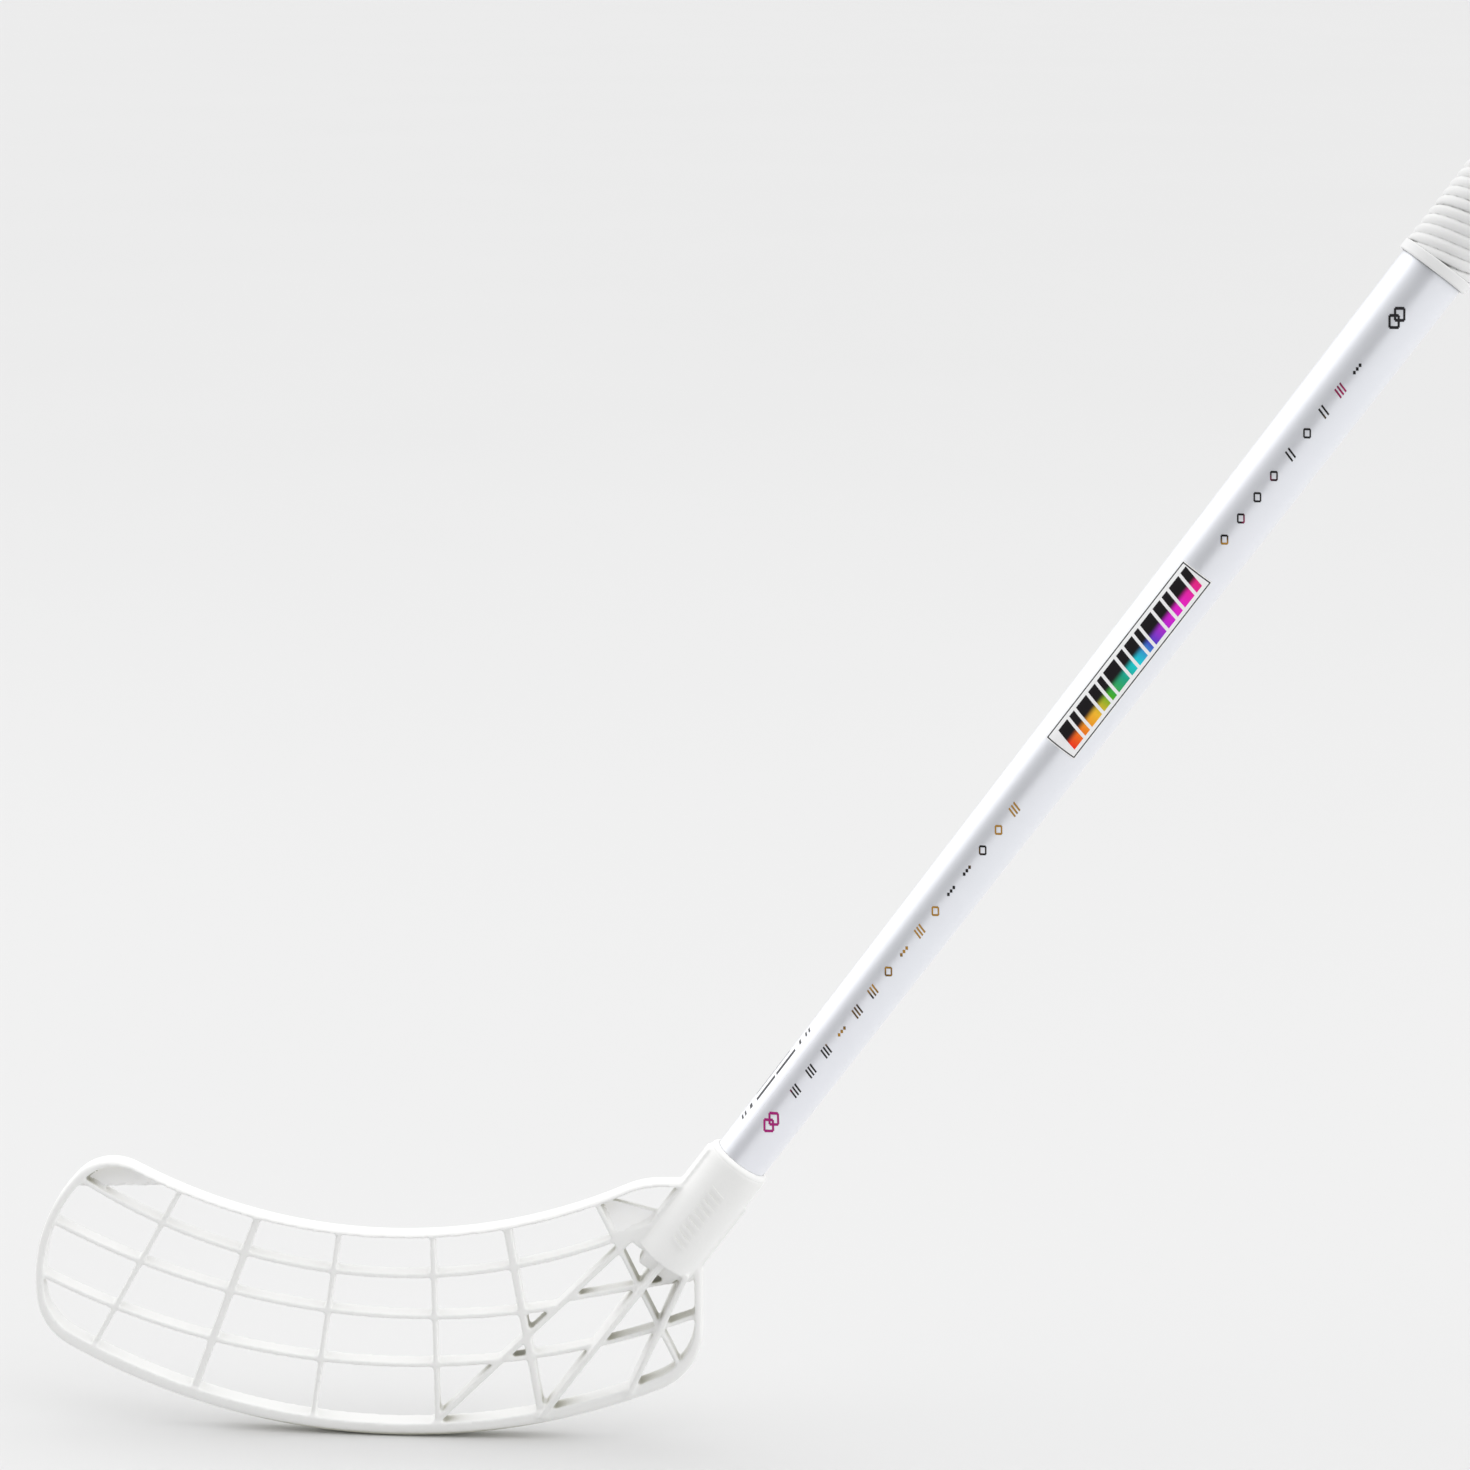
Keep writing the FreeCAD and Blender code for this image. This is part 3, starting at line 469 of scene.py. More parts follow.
def wound_strip_tree():
    """A ribbed strip wound round the shaft: a tube whose ridges climb as a helix, deepest at the seam"""
    tree = Tree("wound_strip", [
        ("Start", "Float", 0.0), ("Length", "Float", 0.37), ("Inner Radius", "Float", 0.0136),
        ("Rib Height", "Float", 0.001), ("Strip Width", "Float", 0.024), ("Ribs", "Int", 5),
        ("Seam Depth", "Float", 0.0005), ("Columns", "Int", 72), ("Rows", "Int", 900),
        ("Material", "Material", None),
    ])
    grid = tree.node("GeometryNodeMeshGrid", Size_X=1.0, Size_Y=1.0,
                     Vertices_X=tree.given["Columns"], Vertices_Y=tree.given["Rows"]).outputs["Mesh"]
    place = tree.place()
    turn = tree.math("ADD", place["X"], 0.5)
    climb = tree.math("MULTIPLY", tree.math("ADD", place["Y"], 0.5), tree.given["Length"])
    wound = tree.math("SUBTRACT", tree.math("DIVIDE", climb, tree.given["Strip Width"]), turn)
    share = tree.math("FRACT", wound)
    half_waves = tree.math("MULTIPLY", tree.math("MULTIPLY", share, math.pi), tree.given["Ribs"])
    rib = tree.math("POWER", tree.math("ABSOLUTE", tree.math("SINE", half_waves)), RIB_FULLNESS)
    edge = tree.math("MINIMUM", share, tree.math("SUBTRACT", 1.0, share))
    seam = tree.node("ShaderNodeMapRange", {"interpolation_type": "SMOOTHSTEP"}, Value=edge,
                     From_Min=0.0, From_Max=SEAM_SHARE, To_Min=-1.0, To_Max=0.0).outputs["Result"]
    lift = tree.math("ADD", tree.math("MULTIPLY", rib, tree.given["Rib Height"]),
                     tree.math("MULTIPLY", seam, tree.given["Seam Depth"]))
    radius = tree.math("ADD", tree.given["Inner Radius"], lift)
    angle = tree.math("MULTIPLY", turn, math.tau)
    height = tree.math("ADD", climb, tree.given["Start"])
    tube = tree.moved(grid, *tree.around(radius, angle, height))
    closed = tree.node("GeometryNodeMergeByDistance", Geometry=tube, Distance=MM / 100).outputs[0]
    tree.end(closed, tree.given["Material"])
    return tree


def wrapped_tree():
    """Flat marks, with X round the shaft and Y along it, laid on a tapered tube as thin solid films"""
    tree = Tree("wrapped_marks", [
        ("Geometry", "Geometry", None), ("Turn", "Float", 0.0), ("Lift", "Float", 0.04 * MM),
        ("Thickness", "Float", 0.04 * MM), ("Low Station", "Float", TAPER_START),
        ("High Station", "Float", TAPER_END), ("Low Radius", "Float", LOW_RADIUS),
        ("High Radius", "Float", HIGH_RADIUS), ("Material", "Material", None),
    ])
    flat = tree.given["Geometry"]
    raised = tree.node("GeometryNodeExtrudeMesh", Mesh=flat, Offset_Scale=tree.given["Thickness"],
                       Individual=False).outputs["Mesh"]
    under = tree.node("GeometryNodeFlipFaces", Mesh=flat).outputs[0]
    join = tree.node("GeometryNodeJoinGeometry")
    tree.group.links.new(raised, join.inputs[0])
    tree.group.links.new(under, join.inputs[0])
    film = tree.node("GeometryNodeMergeByDistance", Geometry=join.outputs[0],
                     Distance=MM / 1000).outputs[0]
    place = tree.place()
    radius = tree.node("ShaderNodeMapRange", Value=place["Y"], From_Min=tree.given["Low Station"],
                       From_Max=tree.given["High Station"], To_Min=tree.given["Low Radius"],
                       To_Max=tree.given["High Radius"]).outputs["Result"]
    angle = tree.math("ADD", tree.math("DIVIDE", place["X"], radius), tree.given["Turn"])
    reach = tree.math("ADD", tree.math("ADD", radius, tree.given["Lift"]), place["Z"])
    laid = tree.moved(film, *tree.around(reach, angle, place["Y"]))
    tree.end(laid, tree.given["Material"])
    return tree


# Marks as bundles of bars, in shares of the mark's height: along, across, width, length, turn in degrees
MARK_SHAPES = (
    tuple((side * 0.22, end * 0.22, 0.15, 0.62, -side * end * 45) for side in (-1, 1) for end in (-1, 1)),
    ((-0.2, 0.0, 0.16, 1.0, 0), (0.2, 0.0, 0.16, 1.0, 0)),
    ((-0.34, 0.0, 0.16, 0.9, 0), (0.0, 0.0, 0.16, 0.9, 0), (0.34, 0.0, 0.16, 0.9, 0)),
    ((-0.4, 0.0, 0.26, 0.26, 45), (0.0, 0.0, 0.26, 0.26, 45), (0.4, 0.0, 0.26, 0.26, 45)),
)
MARK_SLANT = 0.28


def mark_row_tree():
    """A row of small slanted marks along Y: lozenges and bundles of thin bars, in a seeded order"""
    tree = Tree("mark_row", [
        ("Start", "Float", 0.1), ("Pitch", "Float", 0.01), ("Count", "Int", 10), ("Height", "Float", 0.004),
        ("Seed", "Int", 1), ("Last Kind", "Int", len(MARK_SHAPES) - 1), ("Material", "Material", None),
    ])
    tall = tree.given["Height"]
    start = tree.node("ShaderNodeCombineXYZ", Y=tree.given["Start"]).outputs[0]
    step = tree.node("ShaderNodeCombineXYZ", Y=tree.given["Pitch"]).outputs[0]
    points = tree.node("GeometryNodeMeshLine", Count=tree.given["Count"], Start_Location=start,
                       Offset=step).outputs[0]
    kinds = tree.node("GeometryNodeJoinGeometry")
    for bars in reversed(MARK_SHAPES):
        shape = tree.node("GeometryNodeJoinGeometry")
        for along, across, width, length, turn in bars:
            bar = tree.node("GeometryNodeMeshGrid", Size_X=tree.math("MULTIPLY", tall, length),
                            Size_Y=tree.math("MULTIPLY", tall, width),
                            Vertices_X=5, Vertices_Y=2).outputs["Mesh"]
            shift = tree.node("ShaderNodeCombineXYZ", X=tree.math("MULTIPLY", tall, across),
                              Y=tree.math("MULTIPLY", tall, along)).outputs[0]
            bar = tree.node("GeometryNodeTransform", Geometry=bar, Translation=shift,
                            Rotation=(0, 0, math.radians(turn))).outputs[0]
            tree.group.links.new(bar, shape.inputs[0])
        single = tree.node("GeometryNodeGeometryToInstance", Geometry=shape.outputs[0]).outputs[0]
        tree.group.links.new(single, kinds.inputs[0])
    pick = tree.node("FunctionNodeRandomValue", {"data_type": "INT"})
    whole = {socket.name: socket for socket in pick.inputs if socket.type == "INT"}
    whole["Min"].default_value = 0
    tree.feed(whole["Max"], tree.given["Last Kind"])
    tree.feed(whole["Seed"], tree.given["Seed"])
    chosen = next(socket for socket in pick.outputs if socket.type == "INT")
    laid = tree.node("GeometryNodeInstanceOnPoints", Points=points, Instance=kinds.outputs[0],
                     Pick_Instance=True, Instance_Index=chosen).outputs[0]
    real = tree.node("GeometryNodeRealizeInstances", Geometry=laid).outputs[0]
    place = tree.place()
    slant = tree.math("SUBTRACT", place["Y"], tree.math("MULTIPLY", place["X"], MARK_SLANT))
    tree.end(tree.moved(real, place["X"], slant, place["Z"]), tree.given["Material"])
    return tree


WOUND_STRIP = wound_strip_tree()
WRAPPED = wrapped_tree()
MARK_ROW = mark_row_tree()


# Ways to make a mesh


def carried(mesh):
    """An object that carries a mesh through modifiers"""
    carrier = bpy.data.objects.new("carrier", mesh)
    bpy.context.scene.collection.objects.link(carrier)
    return carrier


def evaluated(carrier):
    """The plain mesh that an object's modifiers make; they are then removed"""
    graph = bpy.context.evaluated_depsgraph_get()
    made = bpy.data.meshes.new_from_object(carrier.evaluated_get(graph), preserve_all_data_layers=True,
                                           depsgraph=graph)
    carrier.modifiers.clear()
    return made


def grown(mesh, tree, **values):
    """The plain mesh that a tree makes of a mesh, or of nothing"""
    carrier = carried(mesh or bpy.data.meshes.new("empty"))
    modifier = carrier.modifiers.new("tree", "NODES")
    modifier.node_group = tree.group
    for label, value in values.items():
        modifier[tree.sockets[label.replace("_", " ")]] = value
    carrier.update_tag()
    bpy.context.view_layer.update()
    made = evaluated(carrier)
    bpy.data.objects.remove(carrier)
    return made


def moulded(node, voxel, passes, most):
    """A copy of a node with its edges softened as a mould leaves them, in at most so many triangles"""
    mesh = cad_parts[node].data.copy()
    bm = bmesh.new()
    bm.from_mesh(mesh)
    bmesh.ops.remove_doubles(bm, verts=bm.verts, dist=MM / 500)
    bm.to_mesh(mesh)
    bm.free()
    carrier = carried(mesh)
    remesh = carrier.modifiers.new("remesh", "REMESH")
    remesh.mode = "VOXEL"
    remesh.voxel_size = voxel
    smooth = carrier.modifiers.new("smooth", "SMOOTH")
    smooth.factor = 0.5
    smooth.iterations = passes
    carrier.data = evaluated(carrier)
    carrier.data.calc_loop_triangles()
    thin = carrier.modifiers.new("thin", "DECIMATE")
    thin.ratio = min(1.0, most / len(carrier.data.loop_triangles))
    made = evaluated(carrier)
    bpy.data.objects.remove(carrier)
    made.shade_smooth()
    return made


# The most of a side that a rounded corner takes, and the angles from which an edge is drawn sharp
CORNER_SHARE = 0.45
TURNED_EDGE, FILM_EDGE = math.radians(35), math.radians(40)


def softened(corners, radius, steps=5):
    """A closed profile with its corners rounded, each as far as its two sides allow"""
    points = []
    for n, corner in enumerate(corners):
        here = Vector(corner)
        back = Vector(corners[n - 1]) - here
        ahead = Vector(corners[(n + 1) % len(corners)]) - here
        if here.x < MM / 100:
            points.append(here)
            continue
        reach = min(radius, back.length * CORNER_SHARE, ahead.length * CORNER_SHARE)
        first = here + back.normalized() * reach
        last = here + ahead.normalized() * reach
        for step in range(steps + 1):
            t = step / steps
            points.append(first * (1 - t) ** 2 + here * 2 * t * (1 - t) + last * t ** 2)
    return points


def turned(profile, steps=96):
    """A closed profile of (radius, station) points turned about the shaft's axis and leant over with it"""
    bm = bmesh.new()
    verts = [bm.verts.new((point[0], 0, point[1])) for point in profile]
    edges = [bm.edges.new((verts[n - 1], verts[n])) for n in range(len(verts))]
    bmesh.ops.spin(bm, geom=verts + edges, axis=(0, 0, 1), cent=(0, 0, 0), angle=math.tau, steps=steps,
                   use_merge=True)
    bmesh.ops.remove_doubles(bm, verts=bm.verts, dist=MM / 200)
    bmesh.ops.dissolve_degenerate(bm, edges=bm.edges, dist=MM / 500)
    bmesh.ops.recalc_face_normals(bm, faces=bm.faces)
    bm.transform(LEANT)
    mesh = bpy.data.meshes.new("turned")
    bm.to_mesh(mesh)
    bm.free()
    mesh.shade_smooth()
    mesh.set_sharp_from_angle(angle=TURNED_EDGE)
    return mesh


def leant(mesh):
    """A mesh drawn upright, leant over with the shaft and shaded smooth up to its edges"""
    mesh.transform(LEANT)
    mesh.set_sharp_from_angle(angle=FILM_EDGE)
    return mesh


PATCH_COLUMN = 0.8 * MM


def flat_marks(patches, whole=None):
    """Flat patches (across from, to, along from, to, slant), with a UV map over the whole they belong to"""
    bm = bmesh.new()
    uv = bm.loops.layers.uv.new("print")
    for a0, a1, s0, s1, slant in patches:
        columns = max(1, round((a1 - a0) / PATCH_COLUMN))
        rows = []
        for n in range(columns + 1):
            a = a0 + (a1 - a0) * n / columns
            rows.append([bm.verts.new((a, s - slant * a, 0)) for s in (s0, s1)])
        for near, far in zip(rows, rows[1:]):
            bm.faces.new((near[0], far[0], far[1], near[1]))
    if whole:
        low_a, high_a, low_s, high_s = whole
        for face in bm.faces:
            for loop in face.loops:
                across = (high_a - loop.vert.co.x) / (high_a - low_a)
                along = (loop.vert.co.y - low_s) / (high_s - low_s)
                loop[uv].uv = (along, across)
    mesh = bpy.data.meshes.new("flat")
    bm.to_mesh(mesh)
    bm.free()
    return mesh


def laid(flat, **values):
    """Flat marks laid on the shaft and leant over with it"""
    return leant(grown(flat, WRAPPED, **values))


def show(name, mesh, body, material=None, replaces=None):
    """A finished piece: a mesh in place, with its material, riding on a body"""
    mesh.name = name
    piece = bpy.data.objects.new(name, mesh)
    bpy.context.scene.collection.objects.link(piece)
    if material:
        mesh.materials.clear()
        mesh.materials.append(material)
    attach(piece, body)
    if replaces:
        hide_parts(replaces)


# The blade

MOULD_VOXEL, MOULD_PASSES, MOULD_TRIANGLES = 0.6 * MM, 6, 185000
# A web is a patch of thin plastic, clear of the socket, that leans back between these angles
THICKEST_WEB, SMALLEST_WEB = 5 * MM, 80 * MM * MM
WEB_LEAN = (math.radians(17), math.radians(33))
CLEAR_OF_SOCKET = HOSEL_RADIUS + 1 * MM
UNDER_SKIN = 0.05 * MM

RAISED_BARS, BAR_START, BAR_PITCH, BAR_WIDTH = 9, 9 * MM, 3.3 * MM, 1.5 * MM
BAR_REACH, BAR_SLANT, BAR_TURN = 3.4 * MM, 0.25, math.radians(-8)
BAR_SUNK, BAR_HEIGHT = 0.2 * MM, 0.55 * MM

LIP_INSIDE = LOW_RADIUS - 0.1 * MM
LIP_FOOT, LIP_TOP = SOCKET_DEPTH - 1.6 * MM, SOCKET_DEPTH + 0.8 * MM
LIP_BEVEL = ((12.9 * MM, SOCKET_DEPTH - 0.4 * MM), (12.2 * MM, SOCKET_DEPTH + 0.2 * MM))
LIP_ROUND = 0.6 * MM


def joined_patches(faces):
    """Groups of faces that hang together by their edges"""
    left = set(faces)
    while left:
        front = [left.pop()]
        patch = []
        while front:
            face = front.pop()
            patch.append(face)
            near = {other for edge in face.edges for other in edge.link_faces} & left
            left -= near
            front.extend(near)
        yield patch


def clear_webs(mesh, plastic, clear):
    """Dresses a moulding in its plastic, and in a clearer one, painted lighter, the thin webs that lean
    between its ribs
    """
    mesh.materials.clear()
    mesh.materials.append(plastic)
    mesh.materials.append(clear)
    shaft = LEANT.to_3x3() @ Vector((0, 0, 1))
    bm = bmesh.new()
    bm.from_mesh(mesh)
    solid = BVHTree.FromBMesh(bm)
    thin = []
    for face in bm.faces:
        middle = face.calc_center_median()
        outside = middle.cross(shaft).length > CLEAR_OF_SOCKET
        tilted = WEB_LEAN[0] < math.atan2(abs(face.normal.z), abs(face.normal.y)) < WEB_LEAN[1]
        start = middle - face.normal * UNDER_SKIN
        if outside and tilted and solid.ray_cast(start, -face.normal, THICKEST_WEB)[0]:
            thin.append(face)
    for patch in joined_patches(thin):
        if sum(face.calc_area() for face in patch) > SMALLEST_WEB:
            for face in patch:
                face.material_index = 1
    bm.to_mesh(mesh)
    bm.free()


def blade():
    """The moulding, with a row of raised bars on the front of its socket and a bevelled lip at the mouth"""
    moulding = moulded("blade", MOULD_VOXEL, MOULD_PASSES, MOULD_TRIANGLES)
    clear_webs(moulding, BLADE, web_plastic())
    show("blade_moulding", moulding, "stick", None, "blade")
    bars = []
    for n in range(RAISED_BARS):
        low = BAR_START + n * BAR_PITCH
        bars.append((-BAR_REACH, BAR_REACH, low, low + BAR_WIDTH, BAR_SLANT))
    relief = laid(flat_marks(bars), Turn=BAR_TURN, Lift=-BAR_SUNK, Thickness=BAR_HEIGHT,
                  Low_Radius=HOSEL_RADIUS, High_Radius=HOSEL_RADIUS, Material=BLADE)
    show("socket_relief", relief, "stick")
    lip = [(LIP_INSIDE, LIP_FOOT), (HOSEL_RADIUS, LIP_FOOT), *LIP_BEVEL, (LIP_INSIDE, LIP_TOP)]
    show("socket_lip", turned(softened(lip, LIP_ROUND)), "stick", BLADE)


# The shaft, its grip and the plug

GROOVE_RADIUS = 13.9 * MM
STRIP_WIDTH, STRIP_RIBS, SEAM_DEPTH = 22 * MM, 5, 0.25 * MM
RING_ROUND, RING_STEPS = 2.0 * MM, 8
# The groove in the plug's face: radius, and height from the face
PLUG_GROOVE = ((10.5 * MM, 0), (10.2 * MM, -0.8 * MM), (8.6 * MM, -0.8 * MM), (8.3 * MM, 0))
PLUG_ROUND = 1.6 * MM


def tube():
    """The hollow tube, straight in the socket and under the grip, and tapered between them"""
    outside = [(LOW_RADIUS, 0), (LOW_RADIUS, TAPER_START), (HIGH_RADIUS, TAPER_END),
               (HIGH_RADIUS, SHAFT_LENGTH)]
    inside = [(radius - SHAFT_WALL, station) for radius, station in reversed(outside)]
    show("shaft_lacquered", turned(outside + inside), "stick", LACQUER, "shaft_tube")


def grip():
    """The wound strip and the ring that holds its lower end"""
    strip = grown(None, WOUND_STRIP, Start=GRIP_START, Length=GRIP_END - GRIP_START,
                  Inner_Radius=GROOVE_RADIUS, Rib_Height=GRIP_RADIUS - GROOVE_RADIUS,
                  Strip_Width=STRIP_WIDTH, Ribs=STRIP_RIBS, Seam_Depth=SEAM_DEPTH, Material=grip_rubber())
    show("grip_strip", leant(strip), "stick", None, "grip_wrap")
    ring = [(UNDER_GRIP, TAPER_END), (RING_RADIUS, TAPER_END), (RING_RADIUS, GRIP_START),
            (UNDER_GRIP, GRIP_START)]
    show("grip_ring", turned(softened(ring, RING_ROUND, RING_STEPS)), "stick", ring_rubber(),
         "grip_end_ring")


def plug():
    """The butt plug: a hollow spigot in the tube and a flange with a groove in its face"""
    top = SHAFT_LENGTH + FLANGE_HEIGHT
    foot = SHAFT_LENGTH - PLUG_DEPTH
    corners = [(0, SHAFT_LENGTH), (PLUG_HOLLOW, SHAFT_LENGTH), (PLUG_HOLLOW, foot), (PLUG_SPIGOT, foot),
               (PLUG_SPIGOT, SHAFT_LENGTH), (PLUG_FLANGE, SHAFT_LENGTH), (PLUG_FLANGE, top)]
    corners += [(radius, top + height) for radius, height in PLUG_GROOVE]
    corners.append((0, top))
    show("butt_plug", turned(softened(corners, PLUG_ROUND)), "plug", plug_plastic(), "end_plug")


# The films and what is printed on them and on the tube

FILM_GAP = 0.01 * MM
LABEL_FILM, CLEAR_FILM, INK = 0.12 * MM, 0.01 * MM, 0.02 * MM
FRAME_INSET, FRAME_LINE = 0.5 * MM, 0.5 * MM
# The label's blocks: widths along the shaft in millimetres, and how they lie on the film
BLOCK_WIDTHS = (5.6, 3.0, 6.4, 4.2, 2.6, 7.0, 3.6, 5.0, 2.6, 6.6, 4.4, 3.2, 6.0, 3.4)
BLOCK_REACH, BLOCK_SLANT, BLOCK_GAP = 4.9 * MM, 0.22, 1.35 * MM
BLOCK_MARGIN, COLOR_MARGIN = 4.5 * MM, 4 * MM
# Thin lines on the small film, in millimetres from its middle: across, width, and along from and to
SIDE_LINES = (
    (1.6, 1.5, -13.5, -1.2), (1.6, 1.5, -0.2, 12.5), (-2.4, 1.2, -13.5, 9.0),
    (0.4, 2.6, -23.5, -22.5), (0.4, 2.6, -21.5, -20.5), (0.4, 2.6, -18.0, -16.4),
    (0.4, 2.6, 15.4, 16.6), (0.4, 2.6, 19.5, 20.5), (0.4, 2.6, 21.6, 22.6),
)
SIDE_SLANT = 0.2
# Rows of small marks on the tube, each with a pair of larger lozenges at its outer end:
# start and pitch in millimetres, count, height, seed, last kind and ink
MARK_HEIGHT, LOZENGE_HEIGHT = 4.4 * MM, 6.4 * MM
MARK_ROWS = (
    ("low_marks", 89, 10.3, 15, MARK_HEIGHT, 4, 3, DRIFTING_INK),
    ("high_marks", 367, 10.3, 9, MARK_HEIGHT, 11, 3, DRIFTING_INK),
    ("low_lozenges", 71, 3.4, 2, LOZENGE_HEIGHT, 1, 0, MAGENTA_INK),
    ("high_lozenges", 472, 3.4, 2, LOZENGE_HEIGHT, 1, 0, BLACK_INK),
)
ROW_TURN = math.radians(-9)


def framed(length, width, station, line):
    """The four strips of a frame"""
    a, s0, s1 = width / 2, station - length / 2, station + length / 2
    return [(-a, a, s0, s0 + line, 0), (-a, a, s1 - line, s1, 0),
            (-a, -a + line, s0 + line, s1 - line, 0), (a - line, a, s0 + line, s1 - line, 0)]


def film(name, station, length, width, turn, thickness, material, replaces):
    """A film laid on the tube in place of a sticker's solid"""
    flat = flat_marks([(-width / 2, width / 2, station - length / 2, station + length / 2, 0)])
    mesh = laid(flat, Turn=turn, Lift=FILM_GAP, Thickness=thickness, Material=material)
    show(name, mesh, "stick", None, replaces)


def label():
    """The framed film on the front, with a row of slanted blocks that run from black into bright colours"""
    film("label_film", LABEL_STATION, LABEL_LENGTH, LABEL_WIDTH, LABEL_TURN, LABEL_FILM, film_gloss(),
         "label_sticker")
    border = framed(LABEL_LENGTH - 2 * FRAME_INSET, LABEL_WIDTH - 2 * FRAME_INSET, LABEL_STATION,
                    FRAME_LINE)
    border = laid(flat_marks(border), Turn=LABEL_TURN, Lift=LABEL_FILM, Thickness=INK, Material=BLACK_INK)
    show("label_border", border, "stick")
    low, high = LABEL_STATION - LABEL_LENGTH / 2, LABEL_STATION + LABEL_LENGTH / 2
    blocks = []
    station = low + BLOCK_MARGIN
    for width in BLOCK_WIDTHS:
        blocks.append((-BLOCK_REACH, BLOCK_REACH, station, station + width * MM, BLOCK_SLANT))
        station += width * MM + BLOCK_GAP
    whole = (-BLOCK_REACH, BLOCK_REACH, low + COLOR_MARGIN, high - COLOR_MARGIN)
    blocks = laid(flat_marks(blocks, whole), Turn=LABEL_TURN, Lift=LABEL_FILM, Thickness=INK,
                  Material=rainbow_ink())
    show("label_blocks", blocks, "stick")


def side_film():
    """The small clear film on the left, with a few thin lines"""
    film("side_film", SIDE_STATION, SIDE_LENGTH, SIDE_WIDTH, SIDE_TURN, CLEAR_FILM, LACQUER, "side_sticker")
    lines = []
    for across, wide, low, high in SIDE_LINES:
        start, stop = SIDE_STATION + low * MM, SIDE_STATION + high * MM
        lines.append((across * MM, (across + wide) * MM, start, stop, SIDE_SLANT))
    lines = laid(flat_marks(lines), Turn=SIDE_TURN, Lift=CLEAR_FILM, Thickness=INK, Material=GREY_INK)
    show("side_lines", lines, "stick")


def mark_rows():
    """The small marks that are printed on the tube itself"""
    for name, start, pitch, count, height, seed, last, ink in MARK_ROWS:
        row = grown(None, MARK_ROW, Start=start * MM, Pitch=pitch * MM, Count=count, Height=height,
                    Seed=seed, Last_Kind=last, Material=ink)
        show(name, laid(row, Turn=ROW_TURN, Material=ink), "stick")


def screws():
    """The screws keep their solids' shape"""
    steel = screw_steel()
    for name in ("blade_screw_low", "blade_screw_high"):
        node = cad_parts[name]
        node.data.materials.clear()
        node.data.materials.append(steel)


blade()
tube()
grip()
plug()
label()
side_film()
mark_rows()
screws()


# Floor, light and camera

FLOOR = -630.5 * MM
FLOOR_REACH = 40.0
BACKDROP_TONE = 0.85
BOXES_AIM = (-0.3, 0.0, -0.3)
# Soft boxes: name, place, size and power
BOXES = (
    ("left_box", (-2.2, 0.1, 0.5), (1.6, 2.0), 2),
    ("right_box", (1.7, 0.1, 0.5), (1.6, 2.0), 2),
    ("top_box", (-0.3, 0.5, 1.9), (2.4, 2.0), 3),
)
# The light tent's brightness rises away from its opening and falls again at its far end:
# where each change starts and ends, as a dot product, and the brightness there
AWAY_FROM_OPENING = (0.38, 0.84, 0.35)
TENT_CHANGES = ((-0.95, 0.35, 0.13, 1.75), (0.2, 1.0, 1.0, 0.42))
CAMERA_PLACE = (-0.3802, -1.46445, -0.0101)
CAMERA_DIP = math.radians(12.5)
CAMERA_LENS, CAMERA_SENSOR = 93.06, 36.0


def backdrop():
    """A pale floor that runs far out behind the stick"""
    bm = bmesh.new()
    bmesh.ops.create_grid(bm, x_segments=4, y_segments=4, size=FLOOR_REACH)
    bmesh.ops.translate(bm, verts=bm.verts, vec=(0, 0, FLOOR))
    mesh = bpy.data.meshes.new("backdrop")
    bm.to_mesh(mesh)
    bm.free()
    material, tree, shader = new_material("studio_paper")
    grain = placed_group(tree, FINE_GRAIN, Grain_Scale=60.0, Cloud_Scale=1.5,
                         Low_Roughness=0.8, High_Roughness=0.95)
    paper = shader_mix(tree, grain.outputs["Cloud"], (0.69, 0.69, 0.69, 1), (0.705, 0.705, 0.705, 1))
    tree.links.new(paper, shader.inputs["Base Color"])
    tree.links.new(grain.outputs["Roughness"], shader.inputs["Roughness"])
    mesh.materials.append(material)
    floor = bpy.data.objects.new("backdrop", mesh)
    bpy.context.scene.collection.objects.link(floor)


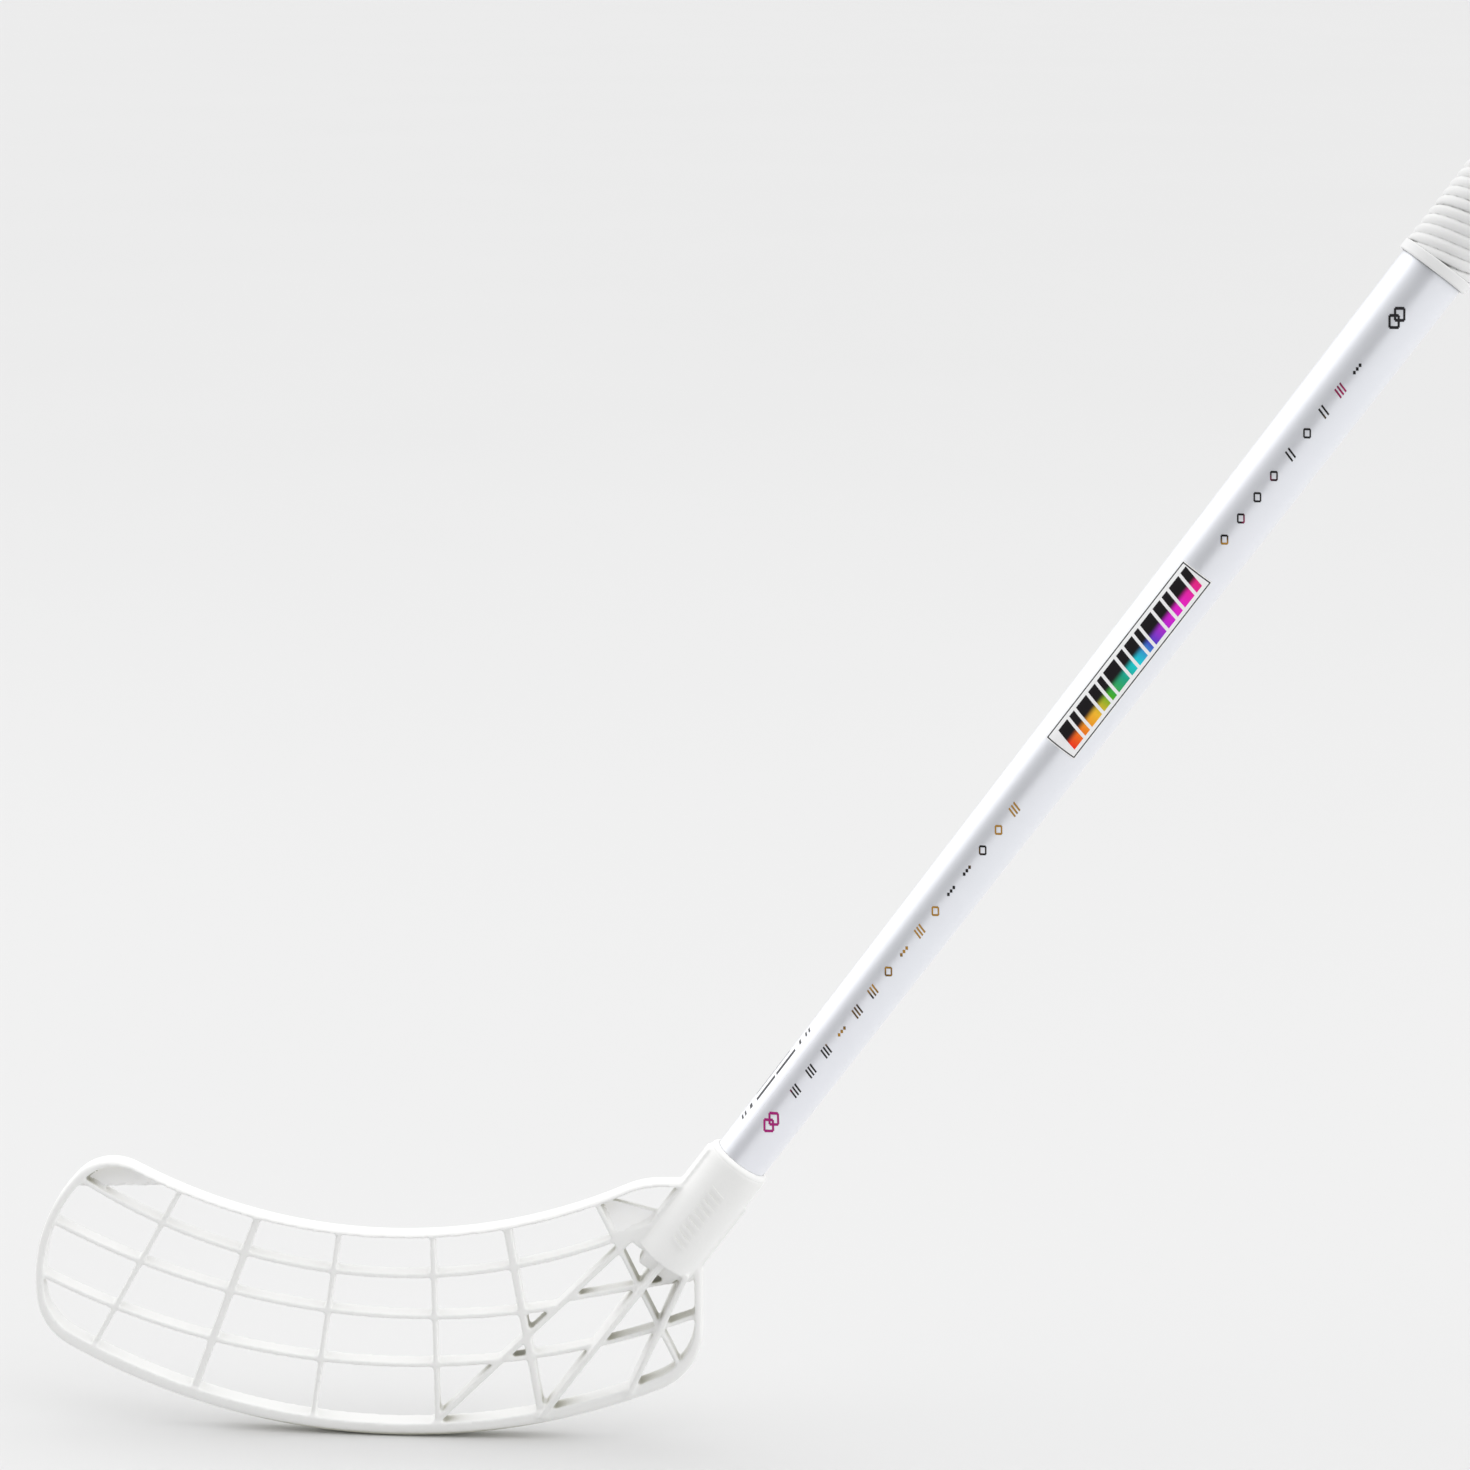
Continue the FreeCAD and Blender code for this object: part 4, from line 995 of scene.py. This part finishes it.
def soft_boxes():
    """Large soft lights on both sides and above"""
    for name, place, size, power in BOXES:
        light = bpy.data.lights.new(name, "AREA")
        light.shape = "RECTANGLE"
        light.size, light.size_y = size
        light.energy = power
        box = bpy.data.objects.new(name, light)
        box.location = place
        box.rotation_euler = (Vector(BOXES_AIM) - Vector(place)).to_track_quat("-Z", "Y").to_euler()
        bpy.context.scene.collection.objects.link(box)


def studio_world():
    """A light tent with a dark opening, which the camera sees as a plain pale backdrop"""
    world = bpy.data.worlds.new("studio")
    world.use_nodes = True
    tree = world.node_tree
    away = tree.nodes.new("ShaderNodeVectorMath")
    away.operation = "DOT_PRODUCT"
    away.inputs[1].default_value = AWAY_FROM_OPENING
    tree.links.new(tree.nodes.new("ShaderNodeTexCoord").outputs["Generated"], away.inputs[0])
    changes = []
    for low, high, first, last in TENT_CHANGES:
        change = tree.nodes.new("ShaderNodeMapRange")
        change.interpolation_type = "SMOOTHSTEP"
        for label, value in (("From Min", low), ("From Max", high), ("To Min", first), ("To Max", last)):
            change.inputs[label].default_value = value
        tree.links.new(away.outputs["Value"], change.inputs["Value"])
        changes.append(change.outputs["Result"])
    tent = tree.nodes["Background"]
    tent.inputs["Color"].default_value = (1, 1, 1, 1)
    tree.links.new(math_node(tree, "MULTIPLY", *changes), tent.inputs["Strength"])
    plain = tree.nodes.new("ShaderNodeBackground")
    plain.inputs["Color"].default_value = (1, 1, 1, 1)
    plain.inputs["Strength"].default_value = BACKDROP_TONE
    seen = tree.nodes.new("ShaderNodeMixShader")
    tree.links.new(tree.nodes.new("ShaderNodeLightPath").outputs["Is Camera Ray"], seen.inputs[0])
    tree.links.new(tent.outputs[0], seen.inputs[1])
    tree.links.new(plain.outputs[0], seen.inputs[2])
    tree.links.new(seen.outputs[0], tree.nodes["World Output"].inputs["Surface"])
    bpy.context.scene.world = world


def photo_camera():
    """A camera that stands where the photograph's edges put it"""
    camera = bpy.data.cameras.new("camera")
    camera.sensor_width = CAMERA_SENSOR
    camera.lens = CAMERA_LENS
    camera_object = bpy.data.objects.new("camera", camera)
    camera_object.location = CAMERA_PLACE
    camera_object.rotation_euler = (math.pi / 2 - CAMERA_DIP, 0, 0)
    bpy.context.scene.collection.objects.link(camera_object)
    bpy.context.scene.camera = camera_object


backdrop()
soft_boxes()
studio_world()
photo_camera()
bpy.context.scene.view_settings.view_transform = "Standard"
